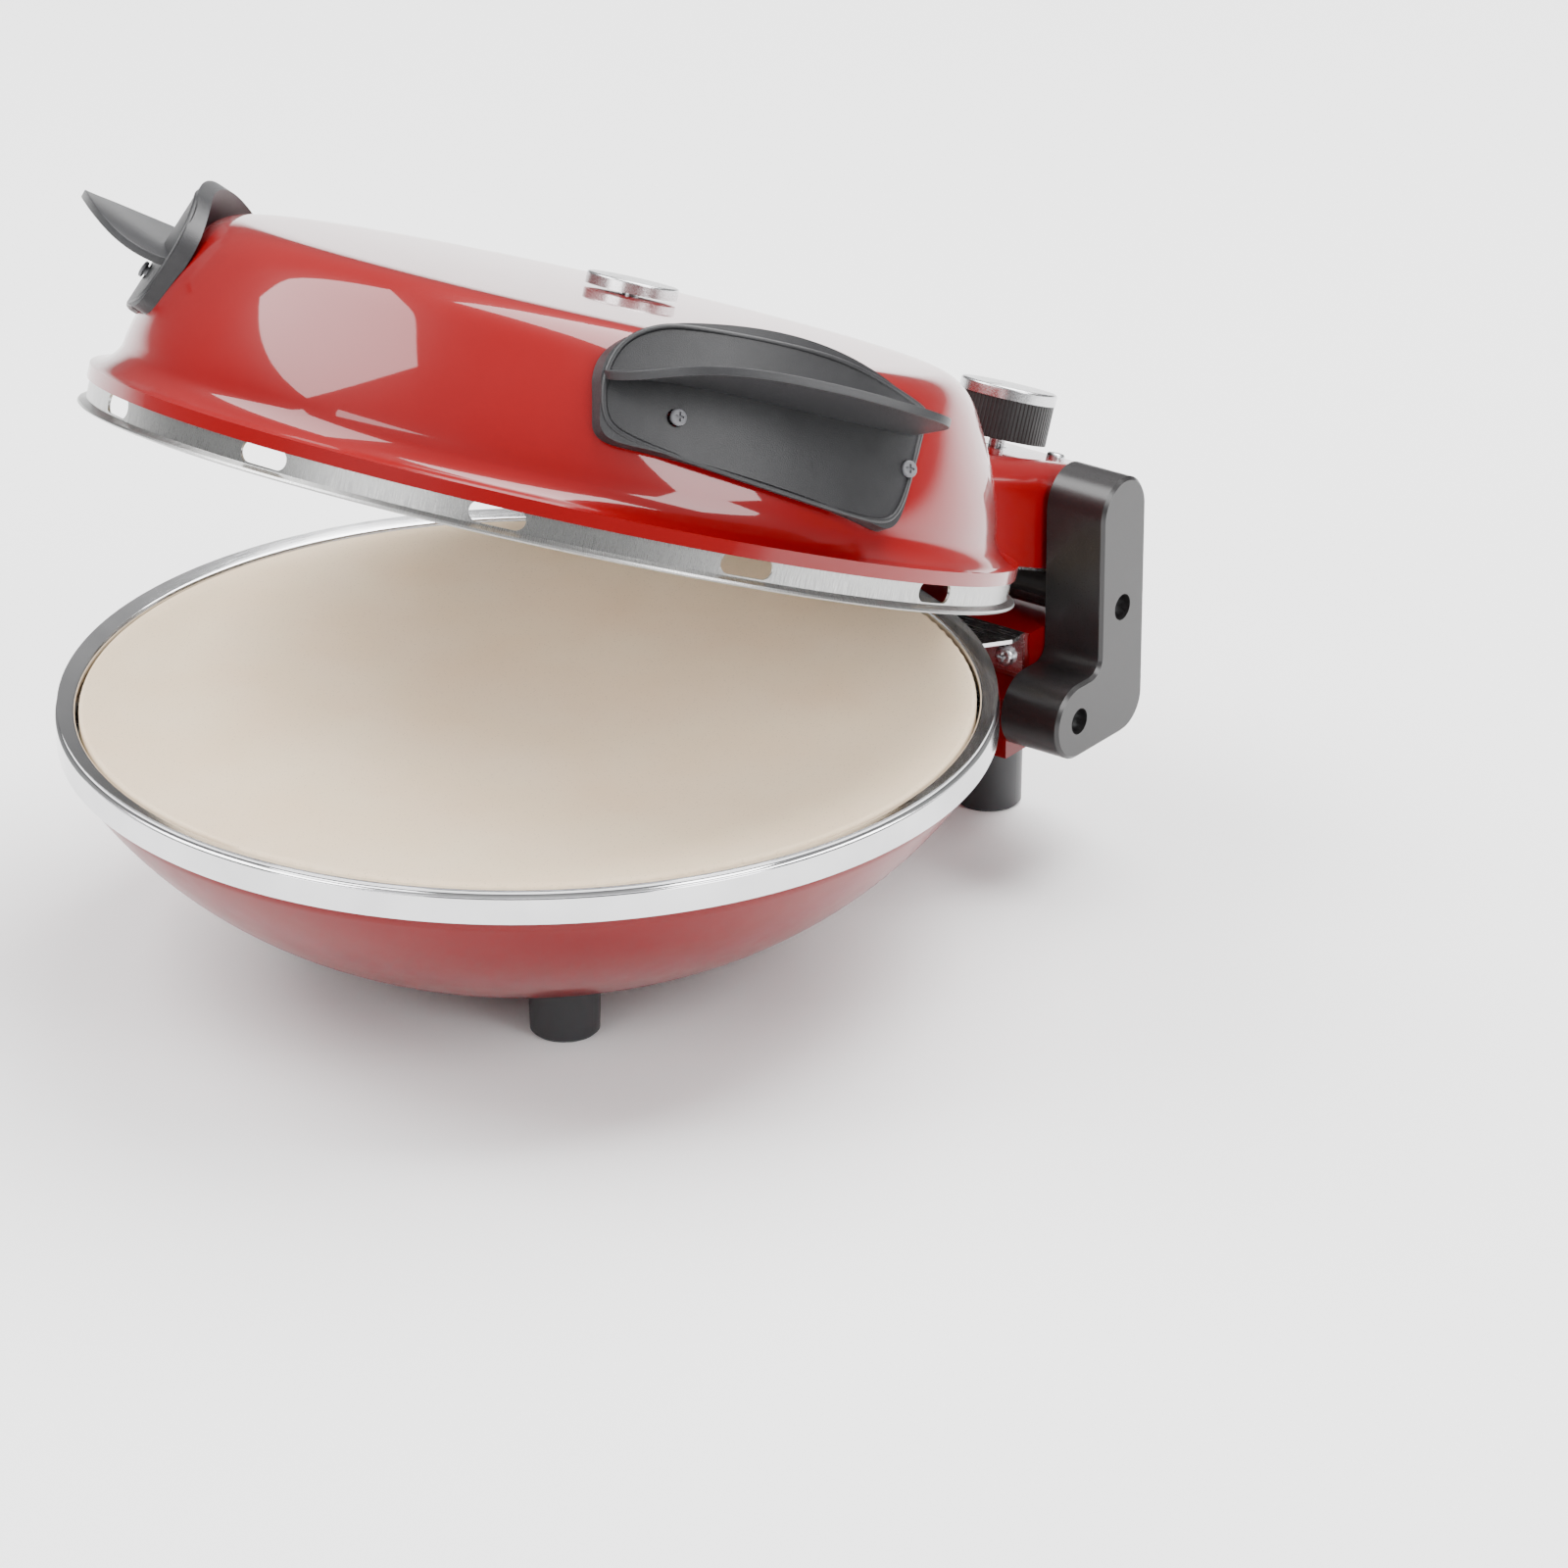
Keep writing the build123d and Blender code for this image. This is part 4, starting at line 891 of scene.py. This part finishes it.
    def build(self, layout: Layout, shelf: FinishShelf) -> None:
        """Build and dress both handles.

        Args:
            layout: Shared positions.
            shelf: The finishes.
        """
        for side in Side:
            blade = self.blade(side.value, layout)
            rim = self.rim(side.value, layout)
            for piece in (blade, rim):
                piece.data.materials.clear()
                piece.data.materials.append(shelf.get("handle"))
                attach(piece, "lid")
                LOG.info("modelled %s", piece.name)
            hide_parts(f"grip_{side.name.lower()}")


# ---- Studio ------------------------------------------------------------------------------------


@dataclass(frozen=True)
class Softbox:
    """A rectangular studio light aimed at the oven.

    Args:
        name: Light name.
        place: Offset from the rim's centre, in metres.
        size: Width and height in metres.
        power: Watts.
    """

    name: str
    place: tuple[float, float, float]
    size: tuple[float, float]
    power: float

    def build(self, target: Vector) -> None:
        """Add the light.

        Args:
            target: The point that the light faces.
        """
        data = bpy.data.lights.new(self.name, "AREA")
        data.shape = "RECTANGLE"
        data.size, data.size_y = self.size
        data.energy = self.power
        lamp = bpy.data.objects.new(self.name, data)
        lamp.location = target + Vector(self.place)
        lamp.rotation_euler = (target - lamp.location).to_track_quat("-Z", "Y").to_euler()
        bpy.context.collection.objects.link(lamp)


class Studio:
    """White floor, soft lights and the camera.

    The camera's distance and its slide to the right and up are in metres from the rim's centre. The
    room's two numbers are the brightness of its walls and of its ceiling.
    """

    azimuth = math.radians(36.4)
    elevation = math.radians(24.7)
    distance = 2.5
    slide = (0.0884, -0.0335)
    lens = 166.05
    room = (0.16, 0.75)
    floor_half = 6.0
    paper_white = 0.93
    paper_rough = 0.9
    boxes = (
        Softbox("key_left", (-1.41, -0.75, 2.05), (1.9, 1.5), 95.0),
        Softbox("fill_right", (2.2, -0.2, 1.3), (1.0, 1.2), 46.0),
        Softbox("front", (-0.3, -2.6, 1.4), (1.8, 0.9), 40.0),
        Softbox("top", (0.3, 1.4, 2.6), (2.4, 2.0), 210.0),
    )

    def __init__(self, layout: Layout) -> None:
        """Remember where the oven is.

        Args:
            layout: Shared positions.
        """
        self.rim = layout.rim

    def build(self) -> None:
        """Add the floor, lights, world and camera."""
        mesh = bpy.data.meshes.new("floor")
        grid = bmesh.new()
        bmesh.ops.create_grid(grid, x_segments=1, y_segments=1, size=self.floor_half)
        grid.to_mesh(mesh)
        grid.free()
        floor = bpy.data.objects.new("floor", mesh)
        bpy.context.collection.objects.link(floor)
        paper = Graph("floor_paper")
        paper.shader.inputs["Base Color"].default_value = (*[self.paper_white] * 3, 1.0)
        paper.shader.inputs["Roughness"].default_value = self.paper_rough
        mesh.materials.append(paper.material)
        world = bpy.data.worlds.new("studio")
        world.use_nodes = True
        self.light_world(world.node_tree)
        bpy.context.scene.world = world
        for box in self.boxes:
            box.build(self.rim)
        self.add_camera()
        LOG.info("studio ready")

    def light_world(self, tree: bpy.types.NodeTree) -> None:
        """Light the room: grey walls that brighten towards a white ceiling.

        Args:
            tree: The world's node tree.
        """
        background = tree.nodes["Background"]
        background.inputs["Color"].default_value = (1.0, 1.0, 1.0, 1.0)
        where = tree.nodes.new("ShaderNodeTexCoord")
        split = tree.nodes.new("ShaderNodeSeparateXYZ")
        ramp = tree.nodes.new("ShaderNodeMapRange")
        tree.links.new(where.outputs["Generated"], split.inputs[0])
        tree.links.new(split.outputs["Z"], ramp.inputs["Value"])
        for socket, value in zip(("From Min", "From Max", "To Min", "To Max"), (0.0, 0.9, *self.room)):
            ramp.inputs[socket].default_value = value
        tree.links.new(ramp.outputs["Result"], background.inputs["Strength"])

    def add_camera(self) -> None:
        """Add the camera, facing the oven from its front right and above."""
        a, e = self.azimuth, self.elevation
        back = Vector((math.sin(a) * math.cos(e), -math.cos(a) * math.cos(e), math.sin(e)))
        right = Vector((math.cos(a), math.sin(a), 0.0))
        up = back.cross(right)
        data = bpy.data.cameras.new("camera")
        data.lens = self.lens
        camera = bpy.data.objects.new("camera", data)
        place = self.rim + back * self.distance + right * self.slide[0] + up * self.slide[1]
        camera.matrix_world = Matrix.Translation(place) @ Matrix((right, up, back)).transposed().to_4x4()
        bpy.context.collection.objects.link(camera)
        bpy.context.scene.camera = camera


def main() -> None:
    """Build the scene piece by piece."""
    logging.basicConfig(level=logging.INFO, format="%(name)s: %(message)s")
    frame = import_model()
    layout = Layout(frame)
    shelf = FinishShelf(layout)
    Studio(layout).build()
    dress_frame(frame, shelf)
    Shells().build(layout, shelf)
    SideHandles().build(layout, shelf)


if __name__ == "__main__":
    main()
